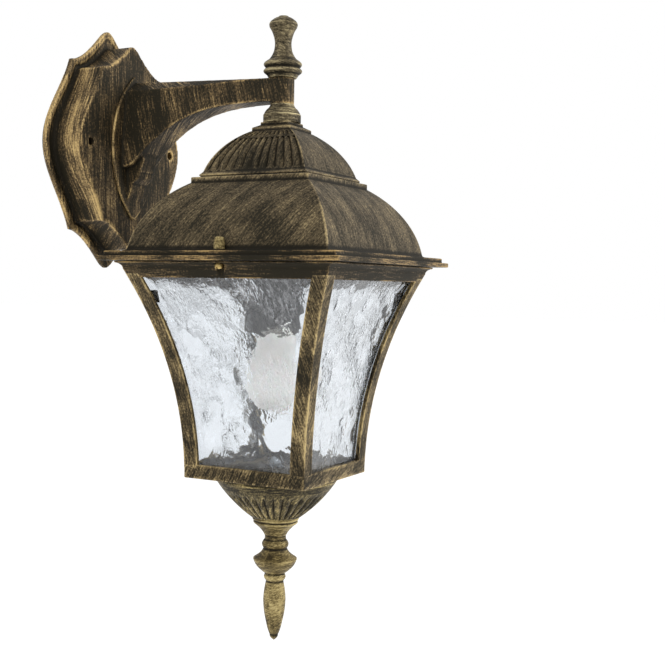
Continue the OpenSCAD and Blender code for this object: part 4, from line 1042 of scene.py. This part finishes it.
globe_low, globe_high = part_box("lamp_globe")
globe_r = (globe_high.x - globe_low.x) / 2 / MM
globe_foot = (globe_low.z - AXIS.z) / MM
globe_top = (globe_high.z - AXIS.z) / MM
mid = globe_foot + globe_r
outer = [(globe_r * math.cos(a), mid + globe_r * math.sin(a)) for a in np.radians(np.linspace(-90, 26, 34))]
outer += [(12.6, globe_top - 13), (11.4, globe_top - 9), (11.4, globe_top)]
inside = [(max(r - 1.2, 0), z + (1.2 if i < 2 else 0)) for i, (r, z) in enumerate(outer)]
globe = form("opal_globe_blown", rounded([*outer, *reversed(inside)], 0.8, step=2.0), OPAL, Columns=96)

# ---- Small fittings -----------------------------------------------------------------------

# Each row: node, body, finish slot, finish, width in mm of the bevel on its edges
for node, body, slot, mat, width in (
    ("cage_screw_left", "cage_screw_left", "brass", BRASS, 0.3),
    ("cage_screw_right", "cage_screw_right", "brass", BRASS, 0.3),
    ("glass_clips", "cage", "spring_clip_steel", SPRING, 0.2), ("stud_nut", "cage", "zinc_steel", ZINC, 0.4),
    ("stud_washer", "cage", "zinc_steel", ZINC, 0.2), ("finial_stud", "cage", "zinc_steel", ZINC, 0.4),
    ("tube_nut", "fixture", "zinc_steel", ZINC, 0.4), ("tube_washer", "fixture", "zinc_steel", ZINC, 0.2),
    ("arm_bolts", "fixture", "zinc_steel", ZINC, 0.35), ("arm_bolt_washers", "fixture", "zinc_steel", ZINC, 0.2),
    ("terminal_block", "fixture", "white_plastic", NYLON, 0.35),
    ("terminal_fixing_screw", "fixture", "zinc_steel", ZINC, 0.15),
    ("earth_screw", "fixture", "brass", BRASS, 0.2), ("earth_ring", "fixture", "brass", BRASS, 0.12),
    ("terminal_tubes", "fixture", "brass", BRASS, 0.15), ("terminal_screws", "fixture", "zinc_steel", ZINC, 0.1),
    ("holder_cap", "fixture", "black_phenolic", PHENOLIC, 0.3), ("wall_seal", "fixture", "black_rubber", RUBBER, 0.25),
):
    finish_piece(eased(node, f"{node}_eased", mat, width), body, node)

# Pieces whose CAD shape is already what is seen take only a finish
for node, mat in (
    ("arm_grommet", RUBBER), ("dome_seal", RUBBER), ("rim_seal", RUBBER), ("bowl_seal", RUBBER),
    ("threaded_tube", ZINC), ("holder_insert", PORCELAIN), ("holder_shell", BRASS), ("holder_contact", BRASS),
    ("holder_screws", BRASS), ("lamp_cap", NICKEL), ("lamp_contact", BRASS),
):
    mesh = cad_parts[node].data
    mesh.materials.clear()
    mesh.materials.append(mat)


def lead(node, name, material):
    """One insulated lead along the CAD lead, with a round, smooth skin."""
    obj = copy_of(node, name)
    smooth = obj.modifiers.new("round", "SUBSURF")
    smooth.levels = smooth.render_levels = 1
    baked(obj, name)
    obj.data.materials.append(material)
    return finish_piece(obj, "fixture", node)


lead("live_wire", "live_lead", LEAD_BROWN)
lead("neutral_wire", "neutral_lead", LEAD_BLUE)
lead("earth_wire", "earth_lead", LEAD_EARTH)

# ---- Wear, painted shade in hollows, and bodies -----------------------------------------------

# Each row: piece, body, finish slot, CAD node, and in mm how sharp an edge catches gold, or a hollow takes painted
# shade, and how far each fades
for piece, body, slot, node, radius, spread in (
    (roof, "fixture", "cast_bronze", "roof", 0.8, 0.9), (dome, "fixture", "cast_bronze", "fluted_dome", 0.7, 0.8),
    (collar, "fixture", "cast_bronze", "lower_collar", 0.8, 0.9),
    (top_finial, "fixture", "cast_bronze", "top_finial", 0.8, 0.9),
    (plate, "fixture", "cast_bronze", "wall_plate", 2.0, 2.6), (arm, "fixture", "cast_bronze", "arm_bracket", 1.1, 1.4),
    (cage, "cage", "cast_bronze", "cage_frame", 0.8, 0.9), (bowl, "cage", "cast_bronze", "bowl", 1.0, 1.0),
    (drop, "cage", "cast_gold", "drop_finial", 0.8, 1.2),
    (holder_ring, "fixture", "black_phenolic", "holder_ring", 1, 1),
    (holder, "fixture", "black_phenolic", "holder_body", 1, 1), (globe, "lamp", "opal_glass", "lamp_globe", 1, 1),
):
    finish_piece(piece, body, node)
    edge_wear_and_hollow_shade(piece, radius, spread)
brush_bulge(plate, -6.0, 38.0, 1.25)

# ---- Floor, light and camera ------------------------------------------------------------------

# Matt white card: a floor far below, with a little light of its own so that it stays an even pale ground
FLOOR_Z, FLOOR_HALF = -1.1, 40
floor_mat = surfaced(new_material("matt white floor")[0], {
    "Base Color": linear("#f7f7f7"), "Roughness": 0.9, "Emission Color": (1, 1, 1, 1), "Emission Strength": 0.35,
})
floor_corners = [(x * FLOOR_HALF, y * FLOOR_HALF, FLOOR_Z) for x, y in ((-1, -1), (1, -1), (1, 1), (-1, 1))]
floor = mesh_object("floor", floor_corners, [(0, 1, 2, 3)])
floor.data.materials.append(floor_mat)

# The studio is plain white; it is a little dimmer to the object than to the eye
world = bpy.data.worlds.new("studio")
bpy.context.scene.world = world
world.use_nodes = True
sky = world.node_tree
background = sky.nodes["Background"]
background.inputs["Color"].default_value = (1, 1, 1, 1)
seen = add(sky, "ShaderNodeLightPath").outputs["Is Camera Ray"]
sky_level = add(sky, RANGE, {0: seen, 3: 0.78, 4: 1.0})
sky.links.new(sky_level.outputs[0], background.inputs["Strength"])


def softbox(name, place, side, power):
    """A square soft light of the given side in metres, aimed at the middle of the lantern."""
    light = bpy.data.lights.new(name, "AREA")
    light.shape, light.size, light.size_y, light.energy = "RECTANGLE", side, side, power
    obj = placed(name, light)
    obj.location = middle + Vector(place)
    obj.rotation_euler = (middle - obj.location).to_track_quat("-Z", "Y").to_euler()


middle = AXIS + Vector((0, 0, -0.04))
softbox("softbox_front", (0.55, -1.25, 0.55), 0.9, 14)
softbox("softbox_left", (-1.3, -0.2, 0.9), 0.8, 7)

camera_data = bpy.data.cameras.new("camera")
camera_data.sensor_width, camera_data.lens, camera_data.clip_start = 36, 61.37, 0.01
camera_data.shift_x, camera_data.shift_y = 0.081, -0.0032
camera = placed("camera", camera_data)
camera.location = (-0.6694, -0.5274, -0.0995)
forward, roll = Vector((0.8716, 0.4888, -0.0370)).normalized(), -0.016
facing = forward.to_track_quat("-Z", "Y").to_matrix()
camera.rotation_euler = (Matrix.Rotation(roll, 3, forward) @ facing).to_euler()
bpy.context.scene.camera = camera
bpy.context.scene.view_settings.view_transform = "Standard"
